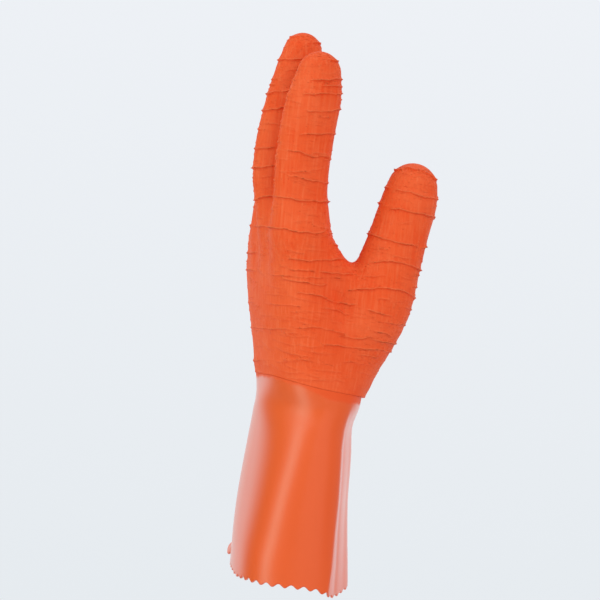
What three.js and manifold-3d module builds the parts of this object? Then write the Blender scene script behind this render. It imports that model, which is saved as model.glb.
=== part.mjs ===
// A rubber work glove for the left hand: a crinkled hand with a smooth gauntlet under its lower edge.
// Millimetres. The origin is the middle of the gauntlet's mouth, +Z runs up the arm to the fingertips,
// -Y is the back of the hand, +Y the palm and +X the thumb side.
import * as THREE from "three";
import Module from "manifold-3d";

const wasm = await Module();
wasm.setup();

// Walls.
const handWall = 2.2;
const gauntletWall = 1.6;
const coatAtLap = 1.1;
const fitGap = 0.3;

// Where the hand's rubber ends: a tilted plane over the gauntlet, which runs on under it.
const hem = { height: 105, riseToThumb: 0.13, riseToPalm: -0.165, lap: 8 };

// The scalloped mouth of the gauntlet.
const mouth = { height: 1, riseToThumb: 0.016, riseToPalm: 0.01, scallops: 36, depth: 2 };

// How softly the parts of the hand run into each other.
const blend = { knuckles: 10, fingers: 9, web: 6, thumb: 9, heel: 14, palmTop: 14 };
const palmTop = 204;

// Heights of the gauntlet's rows. Those of the neck, under the hand, also shape the hand's inside.
const sleeveHeights = [36, 66];
const neckHeights = [86, 100, 112, 125];
const neckBottom = 80;

// The surfaces of the hand run down to this height before they are cut at the hem.
const handBottom = 94;

// The gauntlet's hollow starts this far below its mouth.
const mouthClearance = 6;

// Cross-sections of forearm, wrist and palm: squareness 2 is an ellipse, and more is boxier.
const armSections = [
  { z: -20, middleY: -2.4, halfWidth: 56, halfDepth: 30.0, squareness: 2.5 },
  { z: 0, middleY: -2.4, halfWidth: 55, halfDepth: 29.5, squareness: 2.5 },
  { z: 45, middleY: -2.9, halfWidth: 52, halfDepth: 26.6, squareness: 2.5 },
  { z: 72, middleY: -2.7, halfWidth: 49, halfDepth: 24.8, squareness: 2.5 },
  { z: 86, middleY: -2.8, halfWidth: 46.8, halfDepth: 24.0, squareness: 2.5 },
  { z: 100, middleY: -0.5, halfWidth: 45, halfDepth: 25.4, squareness: 2.4 },
  { z: 115, middleY: -1.7, halfWidth: 45, halfDepth: 27.0, squareness: 2.4 },
  { z: 130, middleY: -6.6, halfWidth: 47, halfDepth: 25.4, squareness: 2.4 },
  { z: 155, middleY: -14.6, halfWidth: 48.5, halfDepth: 21.6, squareness: 2.4 },
  { z: 180, middleY: -19.8, halfWidth: 49, halfDepth: 17.9, squareness: 2.4 },
  { z: 200, middleY: -21.2, halfWidth: 47, halfDepth: 12.6, squareness: 2.4 },
  { z: 225, middleY: -21.0, halfWidth: 46, halfDepth: 14.0, squareness: 2.4 },
];

// Long soft folds of the gauntlet, each at a share of the way round its mouth from the thumb side.
// A ridge has a height above 0 and a hollow one below, and the fold drifts round as it climbs.
const gauntletFolds = [
  { around: 0.036, drift: 0.033, width: 0.02, height: 1.1, from: -25, to: 112 },
  { around: 0.078, drift: 0.03, width: 0.026, height: -0.9, from: -25, to: 104 },
  { around: 0.99, drift: 0.03, width: 0.03, height: -0.5, from: -25, to: 104 },
  { around: 0.9, drift: 0.05, width: 0.035, height: 0.7, from: -20, to: 108 },
  { around: 0.845, drift: 0.02, width: 0.03, height: -0.8, from: -15, to: 104 },
  { around: 0.64, drift: -0.03, width: 0.04, height: -0.9, from: 0, to: 84 },
  { around: 0.43, drift: 0.02, width: 0.035, height: 0.9, from: -10, to: 90 },
  { around: 0.3, drift: 0.02, width: 0.04, height: -0.9, from: 5, to: 92 },
];

// Axis points of each finger, from inside the palm to the tip, with the radius from back to front.
// A finger is narrower than that by its slimness.
const fingers = [
  {
    slimness: 1.2, // index
    axis: [
      { x: 30, y: -20.0, z: 170, radius: 13.5 },
      { x: 35, y: -25.0, z: 195, radius: 14.1 },
      { x: 37, y: -27.4, z: 220, radius: 14.2 },
      { x: 38.5, y: -26.9, z: 245, radius: 14.4 },
      { x: 39.3, y: -25.5, z: 259, radius: 13.7 },
      { x: 39.8, y: -23.9, z: 270, radius: 11.7 },
    ],
  },
  {
    slimness: 1.2, // middle
    axis: [
      { x: 10.5, y: -22.0, z: 175, radius: 13.5 },
      { x: 11.5, y: -29.8, z: 205, radius: 14.4 },
      { x: 11.8, y: -32.9, z: 227, radius: 14.5 },
      { x: 12.2, y: -30.9, z: 250, radius: 14.3 },
      { x: 12.5, y: -28.8, z: 271, radius: 13.0 },
      { x: 12.5, y: -27.6, z: 282.5, radius: 11.0 },
    ],
  },
  {
    slimness: 1.2, // ring
    axis: [
      { x: -11.5, y: -20.0, z: 170, radius: 13.5 },
      { x: -13, y: -23.0, z: 200, radius: 14.2 },
      { x: -14, y: -22.5, z: 223, radius: 14.2 },
      { x: -15, y: -19.0, z: 247, radius: 13.8 },
      { x: -15.6, y: -16.0, z: 264, radius: 12.8 },
      { x: -15.8, y: -14.5, z: 273, radius: 11.4 },
    ],
  },
  {
    slimness: 1.15, // little
    axis: [
      { x: -32, y: -17.0, z: 165, radius: 12.5 },
      { x: -36.5, y: -16.5, z: 187, radius: 13.0 },
      { x: -39.5, y: -15.0, z: 205, radius: 12.8 },
      { x: -41.5, y: -13.5, z: 223, radius: 12.4 },
      { x: -42.8, y: -11.5, z: 238, radius: 11.4 },
      { x: -43.2, y: -10.5, z: 245, radius: 10.4 },
    ],
  },
];

const thumb = {
  slimness: 1,
  axis: [
    { x: 14, y: 4.5, z: 112, radius: 20.8 },
    { x: 24, y: 13.0, z: 135, radius: 21.5 },
    { x: 34, y: 20.9, z: 155, radius: 19.1 },
    { x: 38, y: 25.5, z: 177, radius: 16.8 },
    { x: 39.5, y: 28.8, z: 195, radius: 15.4 },
    { x: 40, y: 31.4, z: 210, radius: 14.6 },
    { x: 40, y: 32.4, z: 218, radius: 13.1 },
  ],
};

// The row of knuckles, which closes the gaps between the fingers' roots.
const knuckles = {
  slimness: 1,
  axis: [
    { x: 36, y: -25.0, z: 189, radius: 11.5 },
    { x: 12, y: -28.5, z: 194, radius: 12.5 },
    { x: -12, y: -23.5, z: 190, radius: 12 },
    { x: -35, y: -18.0, z: 180, radius: 11 },
  ],
};

// The fold of skin between thumb and index finger, and the heel of the palm on the little finger's side.
const web = {
  slimness: 1,
  axis: [
    { x: 34, y: -17.5, z: 184, radius: 9.8 },
    { x: 36, y: -8.0, z: 174.5, radius: 9.4 },
    { x: 36, y: 2.0, z: 165.5, radius: 8.8 },
    { x: 36, y: 13.0, z: 163, radius: 9.6 },
  ],
};
const heel = {
  slimness: 1,
  axis: [
    { x: -20, y: 4.0, z: 122, radius: 15 },
    { x: -27, y: -3.5, z: 140, radius: 16.5 },
    { x: -32, y: -11.0, z: 165, radius: 14 },
  ],
};

// Grid lines that the hand's surfaces are worked out on. One line in x runs down each finger gap.
const fingerPitch = 26;
const outerGrid = {
  x: evenLines(-61.67, 64, fingerPitch / 6),
  y: evenLines(-53, 55, 6),
  z: [...evenLines(88, 194, 10), ...evenLines(201, 301, 8)],
};
const hollowGrid = {
  x: evenLines(-58.2, 62, fingerPitch / 5),
  y: evenLines(-51, 51, 6.5),
  z: [...evenLines(88, 190, 12), ...evenLines(199, 301, 9)],
};

// Steps between two axis points of a limb, and round the mouth when its length is measured.
const stepsPerSpan = 3;
const mouthSteps = 1440;

// The least share of a section's width that is told from 0, and the distance of a settled corner.
const leastShare = 1e-6;
const settled = 1e-3;

function evenLines(from, to, step) {
  const count = Math.round((to - from) / step) + 1;
  return Array.from({ length: count }, (_, i) => from + i * step);
}

// Smooth rows: each column of the table as a curve in z that never overshoots its rows.
function columnCurve(rows, column) {
  const slopes = rows.slice(1).map((row, i) => (row[column] - rows[i][column]) / (row.z - rows[i].z));
  const tangents = rows.map((row, i) => {
    if (i === 0) return slopes[0];
    if (i === rows.length - 1) return slopes[i - 1];
    const [before, after] = [slopes[i - 1], slopes[i]];
    if (before * after <= 0) return 0;
    const spanBefore = row.z - rows[i - 1].z;
    const spanAfter = rows[i + 1].z - row.z;
    const weightBefore = 2 * spanAfter + spanBefore;
    const weightAfter = spanAfter + 2 * spanBefore;
    return (weightBefore + weightAfter) / (weightBefore / before + weightAfter / after);
  });
  return (z) => {
    let i = rows.findIndex((row) => row.z > z) - 1;
    if (i < 0) i = z < rows[0].z ? 0 : rows.length - 2;
    const span = rows[i + 1].z - rows[i].z;
    const s = THREE.MathUtils.clamp((z - rows[i].z) / span, 0, 1);
    return (
      (1 + 2 * s) * (1 - s) ** 2 * rows[i][column] +
      s * (1 - s) ** 2 * span * tangents[i] +
      s * s * (3 - 2 * s) * rows[i + 1][column] +
      s * s * (s - 1) * span * tangents[i + 1]
    );
  };
}

const armCurves = {
  middleY: columnCurve(armSections, "middleY"),
  halfWidth: columnCurve(armSections, "halfWidth"),
  halfDepth: columnCurve(armSections, "halfDepth"),
  squareness: columnCurve(armSections, "squareness"),
};

function armSection(z) {
  return {
    middleY: armCurves.middleY(z),
    halfWidth: armCurves.halfWidth(z),
    halfDepth: armCurves.halfDepth(z),
    squareness: armCurves.squareness(z),
  };
}

// Distance from the wall of one cross-section, below 0 inside it.
function sectionDistance(section, x, y) {
  const n = section.squareness;
  const u = Math.max(Math.abs(x) / section.halfWidth, leastShare);
  const v = Math.max(Math.abs(y - section.middleY) / section.halfDepth, leastShare);
  const size = (u ** n + v ** n) ** (1 / n);
  const slopeX = (u / size) ** (n - 1) / section.halfWidth;
  const slopeY = (v / size) ** (n - 1) / section.halfDepth;
  return (size - 1) / Math.hypot(slopeX, slopeY);
}

function softMin(a, b, reach) {
  const share = THREE.MathUtils.clamp(0.5 + (0.5 * (b - a)) / reach, 0, 1);
  return b * (1 - share) + a * share - reach * share * (1 - share);
}

function softMax(a, b, reach) {
  return -softMin(-a, -b, reach);
}

const limbColumns = ["x", "y", "z", "radius"];

// The point as far beyond an end of an axis as its neighbour is before it.
function beyond(end, neighbour) {
  return Object.fromEntries(limbColumns.map((key) => [key, 2 * end[key] - neighbour[key]]));
}

// A limb's axis points with smooth ones put in between.
function smoothAxis(axis) {
  const points = [beyond(axis[0], axis[1]), ...axis, beyond(axis.at(-1), axis.at(-2))];
  const smooth = [];
  for (let i = 1; i < points.length - 2; i++) {
    for (let j = 0; j < stepsPerSpan; j++) smooth.push(curvePoint(points, i, j / stepsPerSpan));
  }
  smooth.push(axis.at(-1));
  return smooth;
}

function curvePoint(points, i, t) {
  const point = {};
  for (const key of limbColumns) {
    const [a, b, c, d] = points.slice(i - 1, i + 3).map((row) => row[key]);
    const square = 2 * a - 5 * b + 4 * c - d;
    const cube = 3 * b - a - 3 * c + d;
    point[key] = 0.5 * (2 * b + (c - a) * t + square * t * t + cube * t ** 3);
  }
  return point;
}

// Distance from a limb: the nearest of the tapered rods between its axis points.
function limbDistance(limb) {
  const points = smoothAxis(limb.axis);
  const wide = limb.slimness;
  return (x, y, z) => {
    let nearest = Infinity;
    for (let i = 0; i < points.length - 1; i++) {
      const [a, b] = [points[i], points[i + 1]];
      const along = { x: (b.x - a.x) * wide, y: b.y - a.y, z: b.z - a.z };
      const out = { x: (x - a.x) * wide, y: y - a.y, z: z - a.z };
      const length2 = along.x ** 2 + along.y ** 2 + along.z ** 2;
      const dot = out.x * along.x + out.y * along.y + out.z * along.z;
      const t = THREE.MathUtils.clamp(dot / length2, 0, 1);
      const gap = Math.hypot(out.x - t * along.x, out.y - t * along.y, out.z - t * along.z);
      nearest = Math.min(nearest, gap - a.radius - (b.radius - a.radius) * t);
    }
    return nearest;
  };
}

const fingerDistances = fingers.map(limbDistance);
const thumbDistance = limbDistance(thumb);
const knuckleDistance = limbDistance(knuckles);
const webDistance = limbDistance(web);
const heelDistance = limbDistance(heel);

// Distance from the hand's outer surface, below 0 inside it.
function handDistance(x, y, z) {
  const nearestFinger = Math.min(...fingerDistances.map((far) => far(x, y, z)));
  let distance = softMax(sectionDistance(armSection(z), x, y), z - palmTop, blend.palmTop);
  distance = softMin(distance, heelDistance(x, y, z), blend.heel);
  distance = softMin(distance, knuckleDistance(x, y, z), blend.knuckles);
  distance = softMin(distance, nearestFinger, blend.fingers);
  distance = softMin(distance, webDistance(x, y, z), blend.web);
  return softMin(distance, thumbDistance(x, y, z), blend.thumb);
}

// A closed solid from a distance function: one vertex in each grid cell that the surface crosses,
// at the middle of its crossings, and one quad round each grid edge that it crosses.
function solidFromDistance(distance, lines) {
  const steps = [lines.x.length, lines.y.length, lines.z.length];
  const axes = [lines.x, lines.y, lines.z];
  const at = (i, j, k) => (i * steps[1] + j) * steps[2] + k;
  const values = new Float64Array(steps[0] * steps[1] * steps[2]);
  lines.x.forEach((x, i) => lines.y.forEach((y, j) => lines.z.forEach((z, k) => {
    values[at(i, j, k)] = distance(x, y, z);
  })));

  settleCorners(values, steps, at);

  const sums = new Map();
  const quads = [];
  for (let axis = 0; axis < 3; axis++) {
    const [next, last] = [(axis + 1) % 3, (axis + 2) % 3];
    const cell = [0, 0, 0];
    for (cell[0] = 0; cell[0] < steps[0] - 1; cell[0]++) {
      for (cell[1] = 0; cell[1] < steps[1] - 1; cell[1]++) {
        for (cell[2] = 0; cell[2] < steps[2] - 1; cell[2]++) {
          const end = [...cell];
          end[axis] += 1;
          const [a, b] = [values[at(...cell)], values[at(...end)]];
          if (a < 0 === b < 0) continue;
          const crossing = cell.map((n, i) => axes[i][n]);
          crossing[axis] += (axes[axis][end[axis]] - axes[axis][cell[axis]]) * (a / (a - b));
          const around = [[0, 0], [1, 0], [1, 1], [0, 1]].map(([p, q]) => {
            const touching = [...cell];
            touching[next] -= p;
            touching[last] -= q;
            const key = at(...touching);
            const sum = sums.get(key) ?? { point: new THREE.Vector3(), count: 0 };
            sum.point.add(new THREE.Vector3(...crossing));
            sum.count += 1;
            sums.set(key, sum);
            return key;
          });
          quads.push(a < 0 ? around : around.reverse());
        }
      }
    }
  }

  const order = new Map([...sums.keys()].map((key, i) => [key, i]));
  const vertProperties = new Float32Array(3 * sums.size);
  for (const [key, { point, count }] of sums) {
    point.divideScalar(count).toArray(vertProperties, 3 * order.get(key));
  }
  const triVerts = new Uint32Array(quads.flatMap((quad) => {
    const [a, b, c, d] = quad.map((key) => order.get(key));
    return [a, b, c, a, c, d];
  }));
  return new wasm.Manifold(new wasm.Mesh({ numProp: 3, vertProperties, triVerts }));
}

// A grid face with only two opposite corners inside would make the surface touch itself there.
// The corner of it nearest the surface changes sides, until no such face is left.
function settleCorners(values, steps, at) {
  for (let changed = true; changed; ) {
    changed = false;
    for (let axis = 0; axis < 3; axis++) {
      const [next, last] = [(axis + 1) % 3, (axis + 2) % 3];
      for (let i = 0; i < steps[axis]; i++) {
        for (let j = 0; j < steps[next] - 1; j++) {
          for (let k = 0; k < steps[last] - 1; k++) {
            const corners = [[0, 0], [1, 0], [1, 1], [0, 1]].map(([p, q]) => {
              const place = [];
              place[axis] = i;
              place[next] = j + p;
              place[last] = k + q;
              return at(...place);
            });
            const inside = corners.map((corner) => values[corner] < 0);
            if (inside[0] !== inside[2] || inside[1] !== inside[3] || inside[0] === inside[1]) continue;
            const nearest = corners.reduce((a, b) => (Math.abs(values[a]) <= Math.abs(values[b]) ? a : b));
            values[nearest] = values[nearest] < 0 ? settled : -settled;
            changed = true;
          }
        }
      }
    }
  }
}

// Shares of a turn that space the columns of the gauntlet evenly round its mouth.
function evenTurns(columns) {
  const section = armSection(0);
  const lengths = [0];
  for (let i = 1; i <= mouthSteps; i++) {
    const [a, b] = [i - 1, i].map((step) => ringPoint(section, step / mouthSteps));
    lengths.push(lengths[i - 1] + a.distanceTo(b));
  }
  return Array.from({ length: columns }, (_, column) => {
    const wanted = (lengths[mouthSteps] * column) / columns;
    const i = Math.max(1, lengths.findIndex((length) => length >= wanted));
    const back = (lengths[i] - wanted) / (lengths[i] - lengths[i - 1]);
    return (i - back) / mouthSteps;
  });
}

// A point on a cross-section's wall, by its share of a turn from +X towards +Y.
function ringPoint(section, turn) {
  const angle = 2 * Math.PI * turn;
  const power = 2 / section.squareness;
  const bend = (value) => Math.sign(value) * Math.abs(value) ** power;
  return new THREE.Vector2(
    section.halfWidth * bend(Math.cos(angle)),
    section.middleY + section.halfDepth * bend(Math.sin(angle)),
  );
}

function foldHeight(around, z) {
  let height = 0;
  for (const fold of gauntletFolds) {
    const climb = (z - fold.from) / (fold.to - fold.from);
    if (climb <= 0 || climb >= 1) continue;
    const offset = around - fold.around - fold.drift * climb;
    const nearest = offset - Math.round(offset);
    height += fold.height * Math.exp(-((nearest / fold.width) ** 2)) * Math.sin(Math.PI * climb) ** 2;
  }
  return height;
}

// The arm's form as a closed solid with rows of columns, moved out from its wall by offset.
// With scallops, its lowest row is the waved edge of the mouth.
function armSolid({ offset, heights, columns, scalloped }) {
  const turns = evenTurns(columns);
  const points = [];
  heights.forEach((height, row) => {
    const section = armSection(height);
    const wider = {
      ...section,
      halfWidth: section.halfWidth + offset,
      halfDepth: section.halfDepth + offset,
    };
    turns.forEach((turn, column) => {
      const around = column / columns;
      const place = ringPoint(wider, turn);
      const outward = new THREE.Vector2(
        place.x / wider.halfWidth ** 2,
        (place.y - wider.middleY) / wider.halfDepth ** 2,
      );
      place.addScaledVector(outward.normalize(), foldHeight(around, height));
      const edge = scalloped && row === 0;
      points.push(place.x, place.y, edge ? mouthHeight(place.x, place.y, around) : height);
    });
  });
  const low = points.length / 3;
  points.push(0, 0, scalloped ? mouth.height : heights[0], 0, 0, heights.at(-1));
  const triangles = [];
  for (let column = 0; column < columns; column++) {
    const beside = (column + 1) % columns;
    for (let row = 0; row < heights.length - 1; row++) {
      const [a, b] = [row * columns + column, row * columns + beside];
      const [c, d] = [b + columns, a + columns];
      triangles.push(a, b, c, a, c, d);
    }
    const top = (heights.length - 1) * columns;
    triangles.push(low, beside, column, low + 1, top + column, top + beside);
  }
  return new wasm.Manifold(
    new wasm.Mesh({
      numProp: 3,
      vertProperties: new Float32Array(points),
      triVerts: new Uint32Array(triangles),
    }),
  );
}

// The waved edge: broad arches between small lobes that point down.
function mouthHeight(x, y, around) {
  const arch = Math.abs(Math.sin(Math.PI * mouth.scallops * around));
  const level = mouth.height + mouth.riseToThumb * Math.abs(x) + mouth.riseToPalm * y;
  return level + mouth.depth * (arch - 0.5);
}

// Keeps what lies above the hem's plane moved up by lift, or with below what lies under it.
function cutAtHem(solid, lift, below = false) {
  const normal = new THREE.Vector3(-hem.riseToThumb, -hem.riseToPalm, 1);
  const length = normal.length();
  normal.divideScalar(below ? -length : length);
  const offset = (hem.height + lift) / (below ? -length : length);
  return solid.trimByPlane(normal.toArray(), offset);
}

function makeHand() {
  const surface = (inset) => (x, y, z) => Math.max(handDistance(x, y, z) + inset, handBottom - z);
  const outer = solidFromDistance(surface(0), outerGrid);
  const hollow = solidFromDistance(surface(handWall), hollowGrid);
  const neck = armSolid({
    offset: -coatAtLap,
    heights: [neckBottom, ...neckHeights],
    columns: 4 * mouth.scallops,
  });
  const lapSpace = cutAtHem(neck, hem.lap + fitGap, true);
  return cutAtHem(outer, 0).subtract(hollow).subtract(lapSpace);
}

function makeGauntlet() {
  const outerOffset = -coatAtLap - fitGap;
  const outer = armSolid({
    offset: outerOffset,
    heights: [0, ...sleeveHeights, ...neckHeights],
    columns: 4 * mouth.scallops,
    scalloped: true,
  });
  const hollow = armSolid({
    offset: outerOffset - gauntletWall,
    heights: [-mouthClearance, ...sleeveHeights, ...neckHeights],
    columns: 2 * mouth.scallops,
  });
  return cutAtHem(outer.subtract(hollow), hem.lap, true);
}

// A named mesh from a solid.
function meshOf(name, solid, material) {
  const { vertProperties, triVerts } = solid.getMesh();
  const geometry = new THREE.BufferGeometry();
  geometry.setAttribute("position", new THREE.BufferAttribute(vertProperties, 3));
  geometry.setIndex(new THREE.BufferAttribute(triVerts, 1));
  geometry.computeVertexNormals();
  const mesh = new THREE.Mesh(geometry, material);
  mesh.name = name;
  return mesh;
}

const crinkledRubber = new THREE.MeshStandardMaterial({ color: 0xea5b31, roughness: 0.85, metalness: 0 });
const smoothRubber = new THREE.MeshStandardMaterial({ color: 0xe97b58, roughness: 0.45, metalness: 0 });

const glove = new THREE.Group();
glove.add(meshOf("hand", makeHand(), crinkledRubber));
glove.add(meshOf("gauntlet", makeGauntlet(), smoothRubber));

export default glove;
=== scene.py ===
import math

import bpy
import numpy as np
from mathutils import Matrix


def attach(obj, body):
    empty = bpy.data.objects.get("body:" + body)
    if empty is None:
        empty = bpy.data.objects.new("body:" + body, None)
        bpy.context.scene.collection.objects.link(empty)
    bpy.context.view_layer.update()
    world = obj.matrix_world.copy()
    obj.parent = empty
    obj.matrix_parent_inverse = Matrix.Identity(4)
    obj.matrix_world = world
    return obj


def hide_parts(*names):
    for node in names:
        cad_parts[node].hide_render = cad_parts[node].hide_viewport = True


# A rubber work glove for the left hand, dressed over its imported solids.
# Numbers are millimetres unless a note says otherwise, and become metres when a mesh is made.
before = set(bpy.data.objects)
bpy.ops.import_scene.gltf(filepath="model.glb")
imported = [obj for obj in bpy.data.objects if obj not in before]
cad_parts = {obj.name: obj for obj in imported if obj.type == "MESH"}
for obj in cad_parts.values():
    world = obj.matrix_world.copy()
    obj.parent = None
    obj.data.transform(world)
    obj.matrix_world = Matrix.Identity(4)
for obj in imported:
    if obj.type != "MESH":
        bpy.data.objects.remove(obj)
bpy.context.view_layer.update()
millimetre = 0.001
print("frame loaded")


# The camera stands on the thumb side, turned a little to the back of the hand. Angles in degrees.
cameraSetup = {
    "azimuth": 75.0,
    "elevation": 4.0,
    "lean": 6.3,  # how far the glove leans to the right
    "distance": 1200.0,
    "aimAcross": -10.5,
    "aimHeight": 151.0,
    "focal": 2222.0,  # pixels
    "picture": 600,  # pixels
    "sensor": 36,
    "clip": (0.05, 50),  # metres
}


# Back from the glove, level to the right and upright, for a place given in degrees round and up.
def standAxes(azimuth, elevation):
    a, e = math.radians(azimuth), math.radians(elevation)
    back = np.array([math.sin(a) * math.cos(e), -math.cos(a) * math.cos(e), math.sin(e)])
    level = np.array([math.cos(a), math.sin(a), 0.0])
    return back, level, np.cross(back, level)


# Stands a camera or a light at a spot in metres, turned to its own right, top and back.
def standObject(thing, right, top, back, spot):
    columns = np.array([right, top, back, spot])
    thing.matrix_world = Matrix([[*row] for row in columns.T] + [[0, 0, 0, 1]])
    bpy.context.scene.collection.objects.link(thing)


def cameraAxes(setup):
    back, level, upright = standAxes(setup["azimuth"], setup["elevation"])
    lean = math.radians(setup["lean"])
    aim = level * setup["aimAcross"] + np.array([0, 0, setup["aimHeight"]])
    return {
        "back": back,
        "right": level * math.cos(lean) + upright * math.sin(lean),
        "top": -level * math.sin(lean) + upright * math.cos(lean),
        "eye": aim + back * setup["distance"],
    }


def makeCamera(setup, axes):
    lens = bpy.data.cameras.new("productCamera")
    lens.sensor_width = setup["sensor"]
    lens.lens = setup["focal"] / setup["picture"] * lens.sensor_width
    lens.clip_start, lens.clip_end = setup["clip"]
    camera = bpy.data.objects.new("productCamera", lens)
    standObject(camera, axes["right"], axes["top"], axes["back"], axes["eye"] * millimetre)
    bpy.context.scene.camera = camera


viewAxes = cameraAxes(cameraSetup)
makeCamera(cameraSetup, viewAxes)
print("camera placed")


# Where points in millimetres land in the picture, in pixels.
def toPicture(points):
    away = points - viewAxes["eye"]
    scale = cameraSetup["focal"] / -(away @ viewAxes["back"])
    middle = cameraSetup["picture"] / 2
    return middle + scale * (away @ viewAxes["right"]), middle - scale * (away @ viewAxes["top"]), scale


# The glove's form as the part's source has it, with the wrist, knuckles, web, finger roots and
# fingertips moved by a millimetre or two to meet the outline that shows.
form = {
    "handWall": 2.2,
    "gauntletWall": 1.6,
    "coatAtLap": 1.1,
    "fitGap": 0.3,
    "hemHeight": 105.0,
    "hemRise": (0.13, -0.165),  # to the thumb and to the palm
    "hemSag": (2.6, -0.15, 0.62),  # how deep, and the middle and width in radians from the thumb
    "rowsLevelFrom": 200.0,  # height from which the mesh's rows are level
    "turnMiddle": -1.0,  # y that turns round the arm are taken about
    "lap": 8.0,
    "palmTop": 204.0,
    "palmTopBlend": 14.0,
    "heelBlend": 14.0,
    "knuckleBlend": 9.0,
    "fingerBlend": 9.0,
    "rootBlend": 7.0,
    "rootFades": (184.0, 204.0),  # heights
    "webBlend": 6.0,
    "thumbBlend": 9.0,
    "leastBlend": 0.01,
}
leastShare = 1e-6  # keeps 0 out of the powers of a section

# Height, middle y, half width, half depth and squareness of forearm, wrist and palm.
armRows = np.array([
    (-20, -2.4, 56.0, 30.0, 2.5),
    (0, -2.4, 55.0, 29.5, 2.5),
    (45, -2.9, 52.0, 26.6, 2.5),
    (72, -2.7, 49.0, 24.8, 2.5),
    (86, -2.8, 46.8, 24.0, 2.5),
    (100, -0.8, 45.0, 26.1, 2.4),
    (115, -1.8, 45.0, 27.7, 2.4),
    (130, -6.4, 47.0, 25.4, 2.4),
    (155, -14.6, 48.5, 21.6, 2.4),
    (180, -19.1, 49.0, 17.2, 2.4),
    (200, -22.6, 47.0, 11.0, 2.4),
    (225, -22.5, 46.0, 11.5, 2.4),
])

# Each limb's slimness, then x, y, z and radius along its axis.
limbs = {
    "index": (1.2, [(30, -20, 170, 13.5), (35, -25, 195, 14.1), (37.1, -27.4, 220, 14.1),
                    (38.5, -26.9, 245, 14.4), (39.3, -25.5, 259, 14.0), (39.8, -24.6, 271.6, 11.5)]),
    "middle": (1.2, [(10.5, -20.6, 175, 13.3), (11.5, -30.9, 207, 14.1), (11.8, -32.9, 227, 14.5),
                     (12.2, -30.9, 250, 14.3), (12.5, -28.7, 271, 12.4), (12.5, -27.6, 282.7, 10.2)]),
    "ring": (1.2, [(-11.5, -20, 170, 13.5), (-13, -23, 200, 14.2), (-14, -22.5, 223, 14.2),
                   (-15, -19, 247, 13.8), (-15.6, -16, 264, 12.8), (-15.8, -14.5, 273, 11.4)]),
    "little": (1.15, [(-32, -17, 165, 12.5), (-36.5, -16.5, 187, 13), (-39.5, -15, 205, 12.8),
                      (-41.5, -13.5, 223, 12.4), (-42.8, -11.5, 238, 11.4), (-43.2, -10.5, 245, 10.4)]),
    "thumb": (1.0, [(14, 4.5, 112, 20.8), (24, 13, 135, 21.5), (34, 20.9, 155, 19.1), (38, 25.2, 177, 16.4),
                    (39.5, 28.5, 195, 15.1), (40, 31.4, 210, 14.6), (40, 32.4, 218, 13.1)]),
    "knuckles": (1.0, [(36, -25, 189, 11.2), (12, -25.2, 193, 11.2), (-12, -23, 190, 11.6),
                       (-35, -18, 180, 11)]),
    "web": (1.0, [(34, -19.5, 182.5, 9.2), (36, -8, 174, 9.2), (36, 2, 164.3, 8.8), (36, 13, 161.8, 9.4)]),
    "heel": (1.0, [(-20, 4, 122, 15), (-27, -3.5, 140, 16.5), (-32, -11, 165, 14)]),
}
fingerNames = ["index", "middle", "ring", "little"]


# Slopes of each column at its rows, so that the curve through them never overshoots.
def rowSlopes(rows):
    spans = np.diff(rows[:, 0])[:, None]
    rise = np.diff(rows[:, 1:], axis=0) / spans
    slopes = np.vstack([rise[:1], np.zeros_like(rise[1:]), rise[-1:]])
    before, after = rise[:-1], rise[1:]
    heavyBefore = 2 * spans[1:] + spans[:-1]
    heavyAfter = spans[1:] + 2 * spans[:-1]
    same = before * after > 0
    safeBefore, safeAfter = np.where(same, before, 1), np.where(same, after, 1)
    mean = (heavyBefore + heavyAfter) / (heavyBefore / safeBefore + heavyAfter / safeAfter)
    slopes[1:-1] = np.where(same, mean, 0)
    return slopes


armSlopes = rowSlopes(armRows)


# Middle y, half width, half depth and squareness at any heights.
def armAt(z):
    z = np.clip(z, armRows[0, 0], armRows[-1, 0])
    i = np.clip(np.searchsorted(armRows[:, 0], z, side="right") - 1, 0, len(armRows) - 2)
    span = armRows[i + 1, 0] - armRows[i, 0]
    s = (z - armRows[i, 0]) / span
    return [
        (1 + 2 * s) * (1 - s) ** 2 * armRows[i, k + 1]
        + s * (1 - s) ** 2 * span * armSlopes[i, k]
        + s * s * (3 - 2 * s) * armRows[i + 1, k + 1]
        + s * s * (s - 1) * span * armSlopes[i + 1, k]
        for k in range(4)
    ]


def armDistance(x, y, z):
    middle, width, depth, square = armAt(z)
    u = np.maximum(np.abs(x) / width, leastShare)
    v = np.maximum(np.abs(y - middle) / depth, leastShare)
    size = (u**square + v**square) ** (1 / square)
    slope = np.hypot((u / size) ** (square - 1) / width, (v / size) ** (square - 1) / depth)
    return (size - 1) / slope


def smoothStep(low, high, value):
    s = np.clip((value - low) / (high - low), 0, 1)
    return s * s * (3 - 2 * s)


def smoothMin(a, b, reach):
    share = np.clip(0.5 + 0.5 * (b - a) / reach, 0, 1)
    return b * (1 - share) + a * share - reach * share * (1 - share)


# 1 at a middle, falling off softly over a width to both sides.
def softBand(value, middle, width):
    return np.exp(-(((value - middle) / width) ** 2))


def blendOf(low, high, share):
    return low + (high - low) * share


# The way round the arm in radians, from the thumb.
def turnAt(x, y):
    return np.arctan2(y - form["turnMiddle"], x)


def smoothAxis(axis, steps=3):
    points = np.array(axis, float)
    points = np.vstack([2 * points[0] - points[1], points, 2 * points[-1] - points[-2]])
    smooth = []
    for a, b, c, d in zip(points, points[1:], points[2:], points[3:]):
        for t in np.arange(steps) / steps:
            square, cube = 2 * a - 5 * b + 4 * c - d, 3 * b - a - 3 * c + d
            smooth.append(0.5 * (2 * b + (c - a) * t + square * t**2 + cube * t**3))
    return np.array(smooth + [points[-2]])


limbAxes = {name: smoothAxis(axis) for name, (_, axis) in limbs.items()}


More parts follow.
